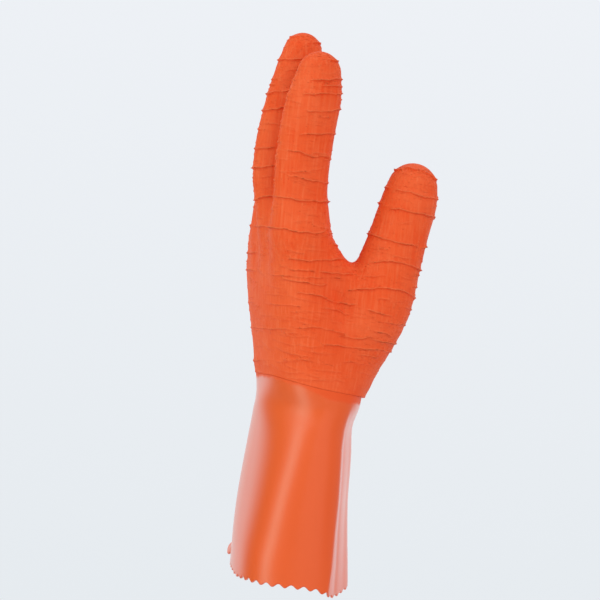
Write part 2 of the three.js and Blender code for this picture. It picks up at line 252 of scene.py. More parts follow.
def limbDistance(name, x, y, z):
    wide = limbs[name][0]
    nearest = np.full(np.shape(x), np.inf)
    for a, b in zip(limbAxes[name], limbAxes[name][1:]):
        alongX, alongY, alongZ = (b[0] - a[0]) * wide, b[1] - a[1], b[2] - a[2]
        outX, outY, outZ = (x - a[0]) * wide, y - a[1], z - a[2]
        length = alongX**2 + alongY**2 + alongZ**2
        t = np.clip((outX * alongX + outY * alongY + outZ * alongZ) / length, 0, 1)
        gap = np.sqrt((outX - t * alongX) ** 2 + (outY - t * alongY) ** 2 + (outZ - t * alongZ) ** 2)
        nearest = np.minimum(nearest, gap - a[3] - (b[3] - a[3]) * t)
    return nearest


# The four fingers, run together at their roots and apart above them.
def fingersDistance(x, y, z):
    reach = form["rootBlend"] * (1 - smoothStep(*form["rootFades"], z)) + form["leastBlend"]
    distance = limbDistance(fingerNames[0], x, y, z)
    for name in fingerNames[1:]:
        distance = smoothMin(distance, limbDistance(name, x, y, z), reach)
    return distance


# Distance from the hand's outer surface, below 0 inside it.
def handDistance(x, y, z):
    palm = -smoothMin(-armDistance(x, y, z), form["palmTop"] - z, form["palmTopBlend"])
    distance = smoothMin(palm, limbDistance("heel", x, y, z), form["heelBlend"])
    distance = smoothMin(distance, limbDistance("knuckles", x, y, z), form["knuckleBlend"])
    distance = smoothMin(distance, fingersDistance(x, y, z), form["fingerBlend"])
    distance = smoothMin(distance, limbDistance("web", x, y, z), form["webBlend"])
    return smoothMin(distance, limbDistance("thumb", x, y, z), form["thumbBlend"])


# Rows of the hand's mesh run level with the hem at the wrist and level with the floor at the fingers.
def hemShare(row):
    return 1 - smoothStep(form["hemHeight"], form["rowsLevelFrom"], row)


def hemTilt(x, y):
    deep, middle, width = form["hemSag"]
    toThumb, toPalm = form["hemRise"]
    return toThumb * x + toPalm * y - deep * softBand(turnAt(x, y), middle, width)


def heightOf(x, y, row):
    return row + hemShare(row) * hemTilt(x, y)


# Values at the nodes of a grid. Only those near the surface are worked out one by one.
def gridValues(distance, lines, stride=4):
    sizes = [len(line) for line in lines]
    picks = [np.arange(0, size, stride) for size in sizes]
    rough = distance(*np.meshgrid(*[line[pick] for line, pick in zip(lines, picks)], indexing="ij"))
    nearest = [np.minimum((np.arange(size) + stride // 2) // stride, len(pick) - 1)
               for size, pick in zip(sizes, picks)]
    values = rough[np.ix_(*nearest)]
    reach = stride * np.linalg.norm([line[1] - line[0] for line in lines])
    near = np.nonzero(np.abs(values) < reach)
    values[near] = distance(*[line[i] for line, i in zip(lines, near)])
    return values


# One vertex in each grid cell that the surface crosses, and one quad round each grid edge that it crosses.
# The lowest layer of cells stays open below. Returns points, the row of each and the quads.
def surfaceNet(values, lines):
    cells = tuple(size - 1 for size in values.shape)
    keys, spots, quads = [], [], []
    for axis in range(3):
        low = values[tuple(slice(0, -1) if i == axis else slice(None) for i in range(3))]
        high = values[tuple(slice(1, None) if i == axis else slice(None) for i in range(3))]
        edges = np.argwhere((low < 0) != (high < 0))
        nextAxis, lastAxis = (axis + 1) % 3, (axis + 2) % 3
        whole = np.ones(len(edges), bool)
        for side in (nextAxis, lastAxis):
            whole &= (edges[:, side] > 0) & (edges[:, side] < cells[side])
        edges = edges[whole]
        a, b = low[tuple(edges.T)], high[tuple(edges.T)]
        spot = np.stack([line[edges[:, i]] for i, line in enumerate(lines)], 1)
        spot[:, axis] += (lines[axis][1] - lines[axis][0]) * a / (a - b)
        corners = []
        for p, q in ((0, 0), (1, 0), (1, 1), (0, 1)):
            cell = edges.copy()
            cell[:, nextAxis] -= p
            cell[:, lastAxis] -= q
            corners.append(np.ravel_multi_index(cell.T, cells))
        around = np.stack(corners, 1)
        keys.append(around.ravel())
        spots.append(np.repeat(spot, 4, axis=0))
        around = np.where((a < 0)[:, None], around, around[:, ::-1])
        quads.append(around[edges[:, 2] > 0] if axis == 2 else around)
    keys, spots, quads = np.concatenate(keys), np.concatenate(spots), np.concatenate(quads)
    used, quads = np.unique(quads, return_inverse=True)
    order = np.full(np.prod(cells), -1)
    order[used] = np.arange(len(used))
    keep = order[keys] >= 0
    slots, spots = order[keys[keep]], spots[keep]
    count = np.bincount(slots, minlength=len(used))
    points = np.stack([np.bincount(slots, spots[:, i], len(used)) / count for i in range(3)], 1)
    rows = np.unravel_index(used, cells)[2]
    return points, rows, quads.reshape(-1, 4)


def slopeOf(distance, points, step=0.2):
    slopes = []
    for axis in range(3):
        ahead, behind = points.copy(), points.copy()
        ahead[:, axis] += step
        behind[:, axis] -= step
        slopes.append((distance(*ahead.T) - distance(*behind.T)) / (2 * step))
    return np.stack(slopes, 1)


# The two ends of each side of each quad.
def quadEdges(quads):
    return np.vstack([quads[:, [0, 1]], quads[:, [1, 2]], quads[:, [2, 3]], quads[:, [3, 0]]])


# Mean of each vertex's neighbours along the edges of the quads.
def neighbourMeans(points, quads):
    edges = quadEdges(quads)
    ends, starts = np.concatenate([edges[:, 0], edges[:, 1]]), np.concatenate([edges[:, 1], edges[:, 0]])
    count = np.bincount(ends, minlength=len(points))
    return np.stack([np.bincount(ends, points[starts, i], len(points)) / count for i in range(3)], 1)


settling = {
    "turns": 7,
    "smoothTurns": 5,
    "smoothing": 0.6,  # share of the way to the mean of the neighbours
    "steepFrom": 0.55,  # how upright the surface is where points keep to their rows
    "leastSlope": 0.05,
    "farthestMove": 1.5,
}


# Brings a net's points onto the surface.
# Where that is steep they stay on level rows, as a knitted course does.
def settleNet(distance, net, rowLines):
    spots, rows, quads = net
    step = rowLines[1] - rowLines[0]
    level = rowLines[0] + (rows + 0.5) * step
    level[rows == 0] = rowLines[1]
    row = spots[:, 2].copy()
    points = np.column_stack([spots[:, 0], spots[:, 1], heightOf(*spots.T)])
    for turn in range(settling["turns"]):
        slope = slopeOf(distance, points)
        flatness = np.hypot(slope[:, 0], slope[:, 1]) / np.linalg.norm(slope, axis=1)
        steep = (flatness > settling["steepFrom"]) | (rows == 0)
        if turn < settling["smoothTurns"]:
            pull = neighbourMeans(points, quads) - points
            points += settling["smoothing"] * pull * (rows > 0)[:, None]
        row[steep] = level[steep]
        points[steep, 2] = heightOf(points[steep, 0], points[steep, 1], row[steep])
        off = distance(*points.T)
        sideways = slope[:, :2] / np.maximum((slope[:, :2] ** 2).sum(1), settling["leastSlope"])[:, None]
        straight = slope / (slope**2).sum(1)[:, None]
        move = np.where(steep[:, None], np.column_stack([sideways, np.zeros(len(off))]), straight)
        points -= np.clip(off, -settling["farthestMove"], settling["farthestMove"])[:, None] * move
    row = np.where(steep, row, points[:, 2] - hemShare(points[:, 2]) * hemTilt(points[:, 0], points[:, 1]))
    normals = slopeOf(distance, points)
    return points, normals / np.linalg.norm(normals, axis=1)[:, None], row, quads


# The surfaces of the hand: cell sizes across, back to front and up.
handNet = {
    "outerCell": (1.4, 1.4, 0.64),
    "innerCell": (3.2, 3.2, 2.8),
    "low": (-62.0, -56.0),
    "high": (64.0, 56.0),
    "top": 302.0,
    "innerStart": 113.4,
}


def buildHandSurface(cell, inset, start):
    rowLines = np.arange(start - cell[2], handNet["top"], cell[2])
    lines = [np.arange(handNet["low"][i], handNet["high"][i], cell[i]) for i in range(2)] + [rowLines]
    values = gridValues(lambda x, y, row: handDistance(x, y, heightOf(x, y, row)) + inset, lines)
    return settleNet(lambda x, y, z: handDistance(x, y, z) + inset, surfaceNet(values, lines), rowLines)


outerPoints, outerNormals, outerRow, outerQuads = buildHandSurface(handNet["outerCell"], 0, form["hemHeight"])
print("hand surface:", len(outerPoints), "points,", len(outerQuads), "quads")


# Which part of the hand each point belongs to.
partNames = ["index", "middle", "ring", "little", "thumb", "palm"]
partBounds = {"palmUpTo": 203, "thumbFrom": 132}  # heights


def nearestPart(points):
    x, y, z = points.T
    body = np.minimum(armDistance(x, y, z), limbDistance("heel", x, y, z))
    body = body + np.maximum(z - partBounds["palmUpTo"], 0)
    palm = np.minimum.reduce([body, limbDistance("knuckles", x, y, z), limbDistance("web", x, y, z)])
    gaps = [limbDistance(name, x, y, z) for name in partNames[:-1]] + [palm]
    thumb = partNames.index("thumb")
    gaps[thumb] = gaps[thumb] + np.maximum(partBounds["thumbFrom"] - z, 0)
    return np.argmin(gaps, axis=0)


outerPart = nearestPart(outerPoints)
facing = (outerNormals * (viewAxes["eye"] - outerPoints)).sum(1) / cameraSetup["distance"]


# The crinkle ridges that show from the camera: height in mm, then points in picture pixels.
# L and R mark those that run on round the left or the right outline.
seenRidges = {
    "middle": [
        (1.1, "L", [(282, 60), (302, 59)]),
        (0.7, "L", [(293, 37), (300, 36.5)]),
        (1.0, "R", [(314, 42.5), (319, 44)]),
        (0.4, "", [(281, 72), (301, 69)]),
        (0.8, "L", [(273, 79), (280, 79)]),
        (0.8, "L", [(271, 85), (276, 84.5)]),
        (1.0, "L", [(269, 94.5), (275, 92), (285, 91.3), (292, 91)]),
        (1.1, "L", [(265, 111), (273, 109.5), (285, 107.5)]),
        (1.0, "L", [(259.5, 129.5), (264, 129.5)]),
        (0.9, "L", [(258, 149), (265, 148), (275, 148)]),
        (1.2, "L", [(253, 168), (263, 167), (275, 166)]),
        (1.2, "L", [(253, 200.5), (260, 198), (268, 196.3), (275, 196)]),
    ],
    "index": [
        (1.0, "R", [(329, 60), (335.5, 61.2)]),
        (1.1, "R", [(310, 80), (325, 80.5), (335, 79), (342, 80)]),
        (0.4, "", [(317, 75.5), (336, 73.5)]),
        (0.9, "R", [(322, 86), (342, 86.4)]),
        (1.0, "R", [(303, 94.5), (320, 94), (341, 94)]),
        (0.9, "R", [(307, 111), (322, 112), (338, 109.5)]),
        (0.4, "", [(312, 116), (332, 117.5)]),
        (0.9, "R", [(300, 134.5), (318, 134), (334, 134)]),
        (0.9, "", [(287, 150), (300, 152), (312, 157), (330, 156.5)]),
        (0.5, "", [(305, 153), (328, 154)]),
        (0.8, "R", [(322, 160), (330, 159.7)]),
        (0.5, "", [(283, 172), (302, 171.5), (312, 173)]),
        (0.3, "", [(300, 170.5), (325, 169)]),
        (0.8, "R", [(288, 176), (300, 177.5), (312, 181), (327, 183)]),
        (1.2, "R", [(275, 196), (290, 198.5), (302, 201), (327.5, 202)]),
        (0.3, "", [(300, 216), (325, 216)]),
    ],
    "palm": [
        (1.1, "L", [(251, 225.5), (270, 227), (285, 229), (300, 232), (318, 233.5), (325, 231.5)]),
        (0.9, "R", [(327, 233), (333.3, 233.8)]),
        (0.4, "", [(257, 234), (272, 234)]),
        (0.9, "R", [(333, 245.5), (338.5, 246)]),
        (1.0, "L", [(246.5, 253), (258, 252.5)]),
        (0.9, "", [(288, 258), (300, 260), (310, 260.8), (322, 260.3), (343, 259.5)]),
        (0.7, "L", [(246.7, 261.5), (252, 261.5)]),
        (0.9, "L", [(247, 270), (256, 270)]),
        (0.6, "", [(287, 269), (300, 270.5), (317, 271)]),
        (1.0, "", [(320, 271.7), (340, 274), (353, 274.5)]),
        (0.5, "", [(270, 275), (285, 275.5), (300, 277), (317, 278), (343, 278)]),
        (0.8, "", [(281, 279), (303, 282), (320, 285.5), (327, 284.5)]),
        (0.9, "", [(297, 293), (312, 294), (320, 296), (333, 302), (345, 304), (357, 304.5)]),
        (0.7, "", [(322, 307.5), (335, 310), (345, 314), (350, 314.5)]),
        (0.5, "", [(270, 304), (285, 305), (302, 306)]),
        (0.5, "", [(290, 311), (300, 313)]),
        (1.2, "R", [(348, 290), (363, 289.5), (383, 288), (395, 289), (404, 291.5), (415, 297.8)]),
        (0.5, "", [(377, 298.5), (392, 299)]),
        (1.0, "", [(368, 310), (380, 313), (392, 317)]),
        (1.0, "R", [(404, 307.5), (411, 309.8)]),
        (0.7, "R", [(385, 322), (405, 325.3)]),
        (0.6, "", [(293, 328), (320, 327.5), (333, 331.5), (347, 333.5)]),
        (0.8, "", [(338, 335), (350, 338), (362, 338.5), (372, 336.5)]),
        (0.9, "", [(375, 331), (384, 333), (393, 336.5)]),
        (0.9, "R", [(322, 344), (335, 345.5), (357, 348), (375, 349), (390, 351.5)]),
        (1.0, "R", [(372, 340), (384, 341), (395, 344)]),
        (0.7, "", [(358, 355), (368, 355.5), (377, 357.5)]),
        (0.5, "", [(282, 359), (297, 359.5), (312, 360)]),
        (0.4, "", [(342, 361), (357, 362.5)]),
        (0.6, "L", [(255, 360.3), (262, 360)]),
        (0.6, "L", [(253.3, 327), (262, 328.5), (290, 329)]),
        (0.5, "L", [(250, 302), (256, 302)]),
        (0.7, "L", [(255.5, 372), (261, 372)]),
        (0.35, "", [(300, 336), (318, 338)]),
        (0.3, "", [(277, 334), (305, 338)]),
        (0.35, "", [(297, 345), (320, 348)]),
        (0.3, "", [(330, 322), (352, 324)]),
        (0.3, "", [(300, 318), (320, 321)]),
        (0.3, "", [(262, 293), (285, 296)]),
        (0.3, "", [(270, 318), (290, 320)]),
        (0.35, "", [(310, 352), (335, 355)]),
        (0.3, "", [(325, 370), (345, 373)]),
        (0.25, "", [(295, 372), (320, 374)]),
    ],
    "thumb": [
        (1.1, "L", [(397.5, 170), (403, 169.5)]),
        (0.9, "R", [(405, 168), (421, 170.6), (430, 175), (435.6, 179.4)]),
        (1.1, "L", [(386.3, 187.3), (391, 187.5)]),
        (1.0, "R", [(396, 190), (402, 190.7), (410, 192.5), (421, 196.5), (428, 197.5), (435.6, 199.4)]),
        (1.1, "L", [(377.5, 203), (383, 202.8)]),
        (1.1, "R", [(391, 208.8), (400, 209.5), (410, 212), (416, 213), (425, 215), (432.5, 217)]),
        (0.4, "", [(398, 213), (409, 211.5)]),
        (1.1, "L", [(367.5, 234.4), (375, 235.5), (381, 238), (392.5, 241.5), (400, 243), (410, 245),
                    (418, 247)]),
        (1.1, "R", [(421, 248), (425.6, 247.2)]),
        (0.4, "", [(377, 249), (392, 249.5)]),
        (0.45, "", [(382, 257), (400, 257), (414, 259.3)]),
        (1.2, "R", [(370, 263), (384, 261.3), (398.8, 262), (410, 265.6), (421.5, 270.5)]),
        (0.8, "R", [(415, 275), (419.6, 275.6)]),
        (0.5, "", [(364, 276), (375, 277), (388, 275)]),
        (0.6, "R", [(412, 286.5), (416.8, 287.5)]),
    ],
}

# Which parts each set of seen ridges may run on.
ridgeGround = {"middle": ["middle"], "index": ["index"], "palm": ["palm", "thumb", "index", "middle"],
               "thumb": ["thumb", "palm"]}

ridgeLook = {
    "scale": 1.15,
    "crest": 0.36,  # half width of the crest
    "slide": 0.34,  # how far a point may slide to meet a crest
    "slideFrom": 0.4,  # lowest ridge that points slide to
    "gather": 0.38,  # how strongly the rows beside a crest close up to it
    "gatherOver": 0.85,
    "fadePixels": 7.0,
    "behind": 0.5,  # how far round the outline a seen ridge runs, as a share of facing
    "paintedTo": 1.5,  # how far from a crest its shading is told
    "wander": 0.33,  # pixels
    "reachAcross": 12,  # pixels beyond a line that are looked at
    "reachDown": 9,
    "shortLine": 12,  # pixels
    # beside the crest, above and below: middle, width and share of the ridge's height
    "shoulder": (0.8, 1.0, 0.2),
    "hollow": (-1.2, 0.7, 0.1),
    "nearness": 0.6,  # a nearer ridge outdoes a taller one further off
    "crestHeight": 0.85,
    "crestSharpness": 1.5,
    "leastTaken": 0.15,  # lowest ridge that rows close up to
    "plainBelow": 1.5,  # how far above the hem the rows stay as they are
    "fadesIn": (0.4, 3),  # above the hem
}

ridgeRise = np.zeros(len(outerPoints))  # the broad swelling above each crest and the hollow below it
crestGap = np.full(len(outerPoints), 9.0)  # distance above the nearest crest
crestSize = np.zeros(len(outerPoints))


# Adds one ridge, given the distance of some points above its line and its height at each.
def addRidge(members, above, height):
    shoulder, hollow = (softBand(above, middle, width) * share
                        for middle, width, share in (ridgeLook["shoulder"], ridgeLook["hollow"]))
    ridgeRise[members] += height * (shoulder - hollow)
    strength = height / (ridgeLook["nearness"] + np.abs(above))
    before = crestSize[members] / (ridgeLook["nearness"] + np.abs(crestGap[members]))
    stronger = strength > before
    crestGap[members[stronger]] = above[stronger]
    crestSize[members[stronger]] = height[stronger]


across, down, scale = toPicture(outerPoints)
topShare = np.sqrt(np.clip(1 - (outerNormals @ viewAxes["top"]) ** 2, 0.12, 1))


# How much of a seen ridge is left at each point: it fades at its ends and wavers in height.
def seenRidgeWeight(line, ends, number, u, turned):
    fade = ridgeLook["fadePixels"]
    start, stop = line[0, 0], line[-1, 0]
    weight = np.ones(len(u))
    if "L" not in ends:
        weight *= smoothStep(start - fade * 0.4, start + fade * 0.6, u)
    if "R" not in ends:
        weight *= 1 - smoothStep(stop - fade * 0.6, stop + fade * 0.4, u)
    if "L" in ends and stop - start < ridgeLook["shortLine"]:
        weight *= 1 - smoothStep(stop - fade * 0.5, stop + fade * 0.7, u)
    seenFrom, seenAll = (-ridgeLook["behind"], 0) if ends else (0, 0.2)
    weight *= smoothStep(seenFrom, seenAll, turned)
    return weight * (0.86 + 0.22 * np.sin(u / 4.7 + number * 2.3))


def addSeenRidge(allowed, number, height, ends, line):
    sideways, upright = ridgeLook["reachAcross"], ridgeLook["reachDown"]
    near = allowed & (facing > -ridgeLook["behind"])
    near &= (across > line[0, 0] - sideways) & (across < line[-1, 0] + sideways)
    near &= (down > line[:, 1].min() - upright) & (down < line[:, 1].max() + upright)
    members = np.nonzero(near)[0]
    u = across[members]
    lineDown = np.interp(u, line[:, 0], line[:, 1])
    slope = np.interp(u, line[:, 0], np.gradient(line[:, 1], line[:, 0]))
    sway = np.sin(u / 3.3 + number * 1.7) + 0.7 * np.sin(u / 1.7 + number * 2.9)
    lineDown += ridgeLook["wander"] * sway
    gap = (lineDown - down[members]) / (scale[members] * topShare[members] * np.hypot(1, slope))
    weight = seenRidgeWeight(line, ends, number, u, facing[members])
    addRidge(members, gap, height * weight * ridgeLook["scale"])


for ground, ridges in seenRidges.items():
    groundPoints = np.isin(outerPart, [partNames.index(name) for name in ridgeGround[ground]])
    for place, (crest, lineEnds, linePoints) in enumerate(ridges):
        addSeenRidge(groundPoints, place, crest, lineEnds, np.array(linePoints, float))
print("seen ridges made")


# Scattered ridges: bold ones where the camera does not see, and fine ones everywhere.
# Ground gives where a part starts and ends, its radius and how many ridges start at each level.
scatteredRidges = {
    "ground": {
        "index": (185, 270, 16, 1),
        "middle": (185, 286, 16, 1),
        "ring": (185, 278, 16, 1),
        "little": (175, 249, 14, 1),
        "thumb": (120, 224, 19, 1),
        "palm": (113, 205, 37, 3),
    },
    "bold": {"seed": 11, "spacing": (2.6, 7.5), "halfLength": (5.0, 17.0), "heights": (0.3, 0.85, 1.2),
             "tilt": 0.09, "wave": 0.5, "more": 0.5},
    "fine": {"seed": 23, "spacing": (0.7, 1.9), "halfLength": (1.5, 6.0), "heights": (0.1, 0.2, 0.42),
             "tilt": 0.12, "wave": 0.35, "more": 1.2},
    "edge": {"seed": 5, "spacing": (0.8, 2.4), "halfLength": (2.5, 8.0), "heights": (0.2, 0.45, 0.8),
             "tilt": 0.15, "wave": 0.4, "more": 3.0},
    "reach": 4,  # how far above and below its line a ridge is worked out
    "fadeOver": 3,  # at its ends
}
# The index finger's left outline in the picture, which hides the middle finger beyond it.
middleEdge = [(303, 68), (294, 86), (285, 100), (278, 130), (273, 162), (273, 196)]


# 1 where the camera sees no part of the surface, falling to 0 where the seen ridges are.
def hiddenShare():
    hidden = 1 - smoothStep(-0.3, 0.0, facing)
    hidden[np.isin(outerPart, [partNames.index("ring"), partNames.index("little")])] = 1
    middle = outerPart == partNames.index("middle")
    edge = np.array(middleEdge, float)
    past = across[middle] - np.interp(down[middle], edge[:, 1], edge[:, 0])
    behind = smoothStep(0, 6, past) * (down[middle] > edge[0, 1])
    hidden[middle] = np.maximum(hidden[middle], behind)
    return hidden


# 1 along the left outline of the index finger, where it stands before the middle finger.
def edgeShare():
    share = smoothStep(-0.3, -0.05, facing) * (1 - smoothStep(0.3, 0.55, facing))
    leftward = outerNormals @ viewAxes["right"] < 0
    onIndex = outerPart == partNames.index("index")
    return share * leftward * onIndex * smoothStep(190, 205, outerPoints[:, 2])


def scatterRidges(kind, share):
    look = scatteredRidges[kind]
    reach, fade = scatteredRidges["reach"], scatteredRidges["fadeOver"]
    chance = np.random.default_rng(look["seed"])
    for name, (low, high, radius, copies) in scatteredRidges["ground"].items():
        members = np.nonzero((outerPart == partNames.index(name)) & (share > 0))[0]
        x, y, z = outerPoints[members].T
        if name == "palm":
            centreX, centreY = np.zeros(len(z)), armAt(z)[0]
        else:
            axis = limbAxes[name]
            centreX, centreY = (np.interp(z, axis[:, 2], axis[:, i]) for i in range(2))
        angle = np.arctan2(y - centreY, x - centreX)
        slant = np.sqrt(np.clip(1 - outerNormals[members, 2] ** 2, 0.15, 1))
        level = low
        while level < high:
            level += chance.uniform(*look["spacing"])
            for _ in range(copies + chance.poisson(look["more"] * copies)):
                start = level + chance.uniform(-2, 2)
                turn = chance.uniform(-math.pi, math.pi)
                half = chance.uniform(*look["halfLength"]) * (1 if radius < 30 else 1.5)
                height = chance.triangular(*look["heights"])
                tilt = chance.normal(0, look["tilt"])
                phase, wave = chance.uniform(0, 6.3), chance.uniform(0, look["wave"])
                close = np.nonzero(np.abs(z - start) < reach + abs(tilt) * half)[0]
                arc = (np.mod(angle[close] - turn + math.pi, 2 * math.pi) - math.pi) * radius
                middleLine = start + tilt * arc + wave * np.sin(arc / 3.4 + phase)
                above = (z[close] - middleLine) / slant[close]
                near = (np.abs(above) < reach) & (np.abs(arc) < half + fade)
                close, above, arc = close[near], above[near], arc[near]
                weight = (1 - smoothStep(half * 0.5, half + fade, np.abs(arc))) * share[members[close]]
                addRidge(members[close], above, height * weight * ridgeLook["scale"])


scatterRidges("bold", hiddenShare())
scatterRidges("fine", np.ones(len(outerPoints)))
scatterRidges("edge", edgeShare())
print("scattered ridges made")


# The coat thins out towards its hem and ends in a fine bead, clear on the thumb's side and faint on the back.
hemLook = {
    "thinOver": 7.0,
    "thinBack": 0.78,
    "thinFront": 0.62,
    "beadBack": 0.0,
    "beadFront": 0.2,
    "beadWidth": 0.5,
    "beadAbove": 0.4,  # the hem
    "frontFrom": -17.0,  # y where the bead starts to stand out
    "frontTo": -2.0,
    "hang": (0.02, 0.03),  # how far the turn under the hem hangs below it
    "innerRows": [105.0, 109.0, 113.3],
}


def hemFront(y):
    return smoothStep(hemLook["frontFrom"], hemLook["frontTo"], y)


# Lifts the surface into its ridges and thins it at the hem.
def shapeHandSurface():
    upward = np.array([0, 0, 1]) - outerNormals * outerNormals[:, 2:]
    upward /= np.maximum(np.linalg.norm(upward, axis=1), 0.3)[:, None]
    hem = form["hemHeight"]
    free = outerRow > hem + ridgeLook["plainBelow"]
    strong = smoothStep(ridgeLook["leastTaken"], ridgeLook["slideFrom"], crestSize) * free
    gather = ridgeLook["gather"] * softBand(crestGap, 0, ridgeLook["gatherOver"]) * strong
    meets = (np.abs(crestGap) < ridgeLook["slide"]) & (crestSize >= ridgeLook["slideFrom"]) & free
    gap = np.where(meets, 0, crestGap * (1 - gather))
    slide = gap - crestGap
    peak = np.exp(-np.abs(gap / ridgeLook["crest"]) ** ridgeLook["crestSharpness"])
    lift = ridgeRise + ridgeLook["crestHeight"] * crestSize * peak
    fadeFrom, fadeTo = ridgeLook["fadesIn"]
    lift *= smoothStep(hem + fadeFrom, hem + fadeTo, outerRow)
    front = hemFront(outerPoints[:, 1])
    thin = blendOf(hemLook["thinBack"], hemLook["thinFront"], front)
    thin *= 1 - smoothStep(hem, hem + hemLook["thinOver"], outerRow)
    bead = blendOf(hemLook["beadBack"], hemLook["beadFront"], front)
    bead *= softBand(outerRow - hem, hemLook["beadAbove"], hemLook["beadWidth"])
    shaped = outerPoints + upward * slide[:, None] + outerNormals * (lift - thin + bead)[:, None]
    reach = ridgeLook["paintedTo"]
    size = crestSize * (1 - smoothStep(0.6 * reach, 0.95 * reach, np.abs(gap)))
    return shaped, lift, np.clip(gap, -reach, reach), size


shapedPoints, liftOf, paintGap, paintSize = shapeHandSurface()


# Points of a closed border of a net, in order round the arm.
def borderLoop(points, quads):
    pairs, count = np.unique(np.sort(quadEdges(quads), axis=1), axis=0, return_counts=True)
    loop = np.unique(pairs[count == 1])
    return loop[np.argsort(turnOf(points[loop]))]


def turnOf(points):
    return turnAt(points[:, 0], points[:, 1])


# Moves points sideways to a distance from the arm's form, on a row that follows the hem.
def ringAt(points, row, offset):
    points = points.copy()
    for _ in range(5):
        points[:, 2] = heightOf(points[:, 0], points[:, 1], row)
        slope = slopeOf(armDistance, points)[:, :2]
        off = armDistance(*points.T) - offset
        points[:, :2] -= (off / (slope**2).sum(1))[:, None] * slope
    points[:, 2] = heightOf(points[:, 0], points[:, 1], row)
    return points


# Quads between two loops of the same length, facing out when the second is above the first.
def stitch(low, high):
    return np.column_stack([low, np.roll(low, -1), np.roll(high, -1), high])


# Triangles between two loops of different lengths, each in order round the arm.
def zipLoops(low, high, lowTurns, highTurns):
    triangles = []
    i = j = 0
    while i < len(low) or j < len(high):
        nextLow = lowTurns[i + 1] if i + 1 < len(low) else math.pi + i
        nextHigh = highTurns[j + 1] if j + 1 < len(high) else math.pi + j
        if j >= len(high) or (i < len(low) and nextLow <= nextHigh):
            triangles.append((low[i % len(low)], low[(i + 1) % len(low)], high[j % len(high)]))
            i += 1
        else:
            triangles.append((low[i % len(low)], high[(j + 1) % len(high)], high[j % len(high)]))
            j += 1
    return np.array(triangles)


# Two triangles for each quad, split so that a ridge's crest runs unbroken along the diagonals.
def splitQuads(quads, lift):
    a, b, c, d = quads.T
    first = (lift[a] + lift[c] >= lift[b] + lift[d])[:, None]
    one = np.where(first, np.column_stack([a, b, c]), np.column_stack([a, b, d]))
    two = np.where(first, np.column_stack([a, c, d]), np.column_stack([b, c, d]))
    return np.vstack([one, two])


# A mesh object in metres. Faces from number insideFrom on take the second material,
# and the edges of one loop stay sharp.
def makeObject(name, points, faces, materials, insideFrom, attributes, sharpLoop):
    mesh = bpy.data.meshes.new(name)
    mesh.from_pydata((points * millimetre).tolist(), [], [face.tolist() for part in faces for face in part])
    slots = np.zeros(len(mesh.polygons), int)
    slots[insideFrom:] = 1
    mesh.polygons.foreach_set("material_index", slots)
    for material in materials:
        mesh.materials.append(material)
    for key, values in attributes.items():
        layer = mesh.attributes.new(key, "FLOAT", "POINT")
        layer.data.foreach_set("value", np.asarray(values, float))
    mesh.shade_smooth()
    ends = np.zeros(2 * len(mesh.edges), int)
    mesh.edges.foreach_get("vertices", ends)
    sharp = np.isin(ends.reshape(-1, 2), sharpLoop).all(axis=1)
    mesh.attributes.new("sharp_edge", "BOOLEAN", "EDGE").data.foreach_set("value", sharp)
    mesh.update()
    madeObject = bpy.data.objects.new(name, mesh)
    bpy.context.scene.collection.objects.link(madeObject)
    return madeObject


def addNode(tree, kind, links=None, **settings):
    node = tree.nodes.new("ShaderNode" + kind)
    for key, value in settings.items():
        setattr(node, key, value)
    for key, value in (links or {}).items():
        socket = node.inputs[key]
        if isinstance(value, bpy.types.NodeSocket):
            tree.links.new(value, socket)
        else:
            socket.default_value = value
    return node


def newMaterial(name):
    material = bpy.data.materials.new(name)
    material.use_nodes = True
    tree = material.node_tree
    tree.nodes.clear()
    surface = addNode(tree, "BsdfPrincipled")
    output = addNode(tree, "OutputMaterial")
    tree.links.new(surface.outputs[0], output.inputs[0])
    return material, tree, surface


# Noise whose grain can be longer along one axis. Scale is in cells for each metre.
def grain(tree, scale, detail=2.0, roughness=0.5, distortion=0.0, shift=(0, 0, 0)):
    place = addNode(tree, "TexCoord").outputs["Object"]
    stretched = addNode(tree, "Mapping", {"Vector": place, "Scale": scale, "Location": shift}).outputs[0]
    return addNode(tree, "TexNoise", {
        "Vector": stretched, "Scale": 1.0, "Detail": detail, "Roughness": roughness, "Distortion": distortion,
    }).outputs[0]


def mathNode(tree, operation, a, b=0.0, clamp=False):
    node = addNode(tree, "Math", {0: a, 1: b}, operation=operation, use_clamp=clamp)
    return node.outputs[0]


def mapRange(tree, value, low, high, toLow=0.0, toHigh=1.0, easing="LINEAR"):
    return addNode(tree, "MapRange", {
        "Value": value, "From Min": low, "From Max": high, "To Min": toLow, "To Max": toHigh,
    }, interpolation_type=easing).outputs[0]


def mixColour(tree, share, a, b):
    node = addNode(tree, "Mix", {0: share, 6: a, 7: b}, data_type="RGBA")
    return node.outputs[2]


def attribute(tree, name):
    return addNode(tree, "Attribute", attribute_name=name).outputs["Fac"]


def bump(tree, height, distance, before=None):
    links = {"Height": height, "Distance": distance, "Strength": 1.0}
    if before:
        links["Normal"] = before
    return addNode(tree, "Bump", links).outputs[0]


# A band of 1 where a value is near a middle, falling to 0 at a width away.
def bandAround(tree, value, middle, width):
    away = mathNode(tree, "ABSOLUTE", mathNode(tree, "SUBTRACT", value, middle))
    return mapRange(tree, away, width, 0.0, easing="SMOOTHSTEP")


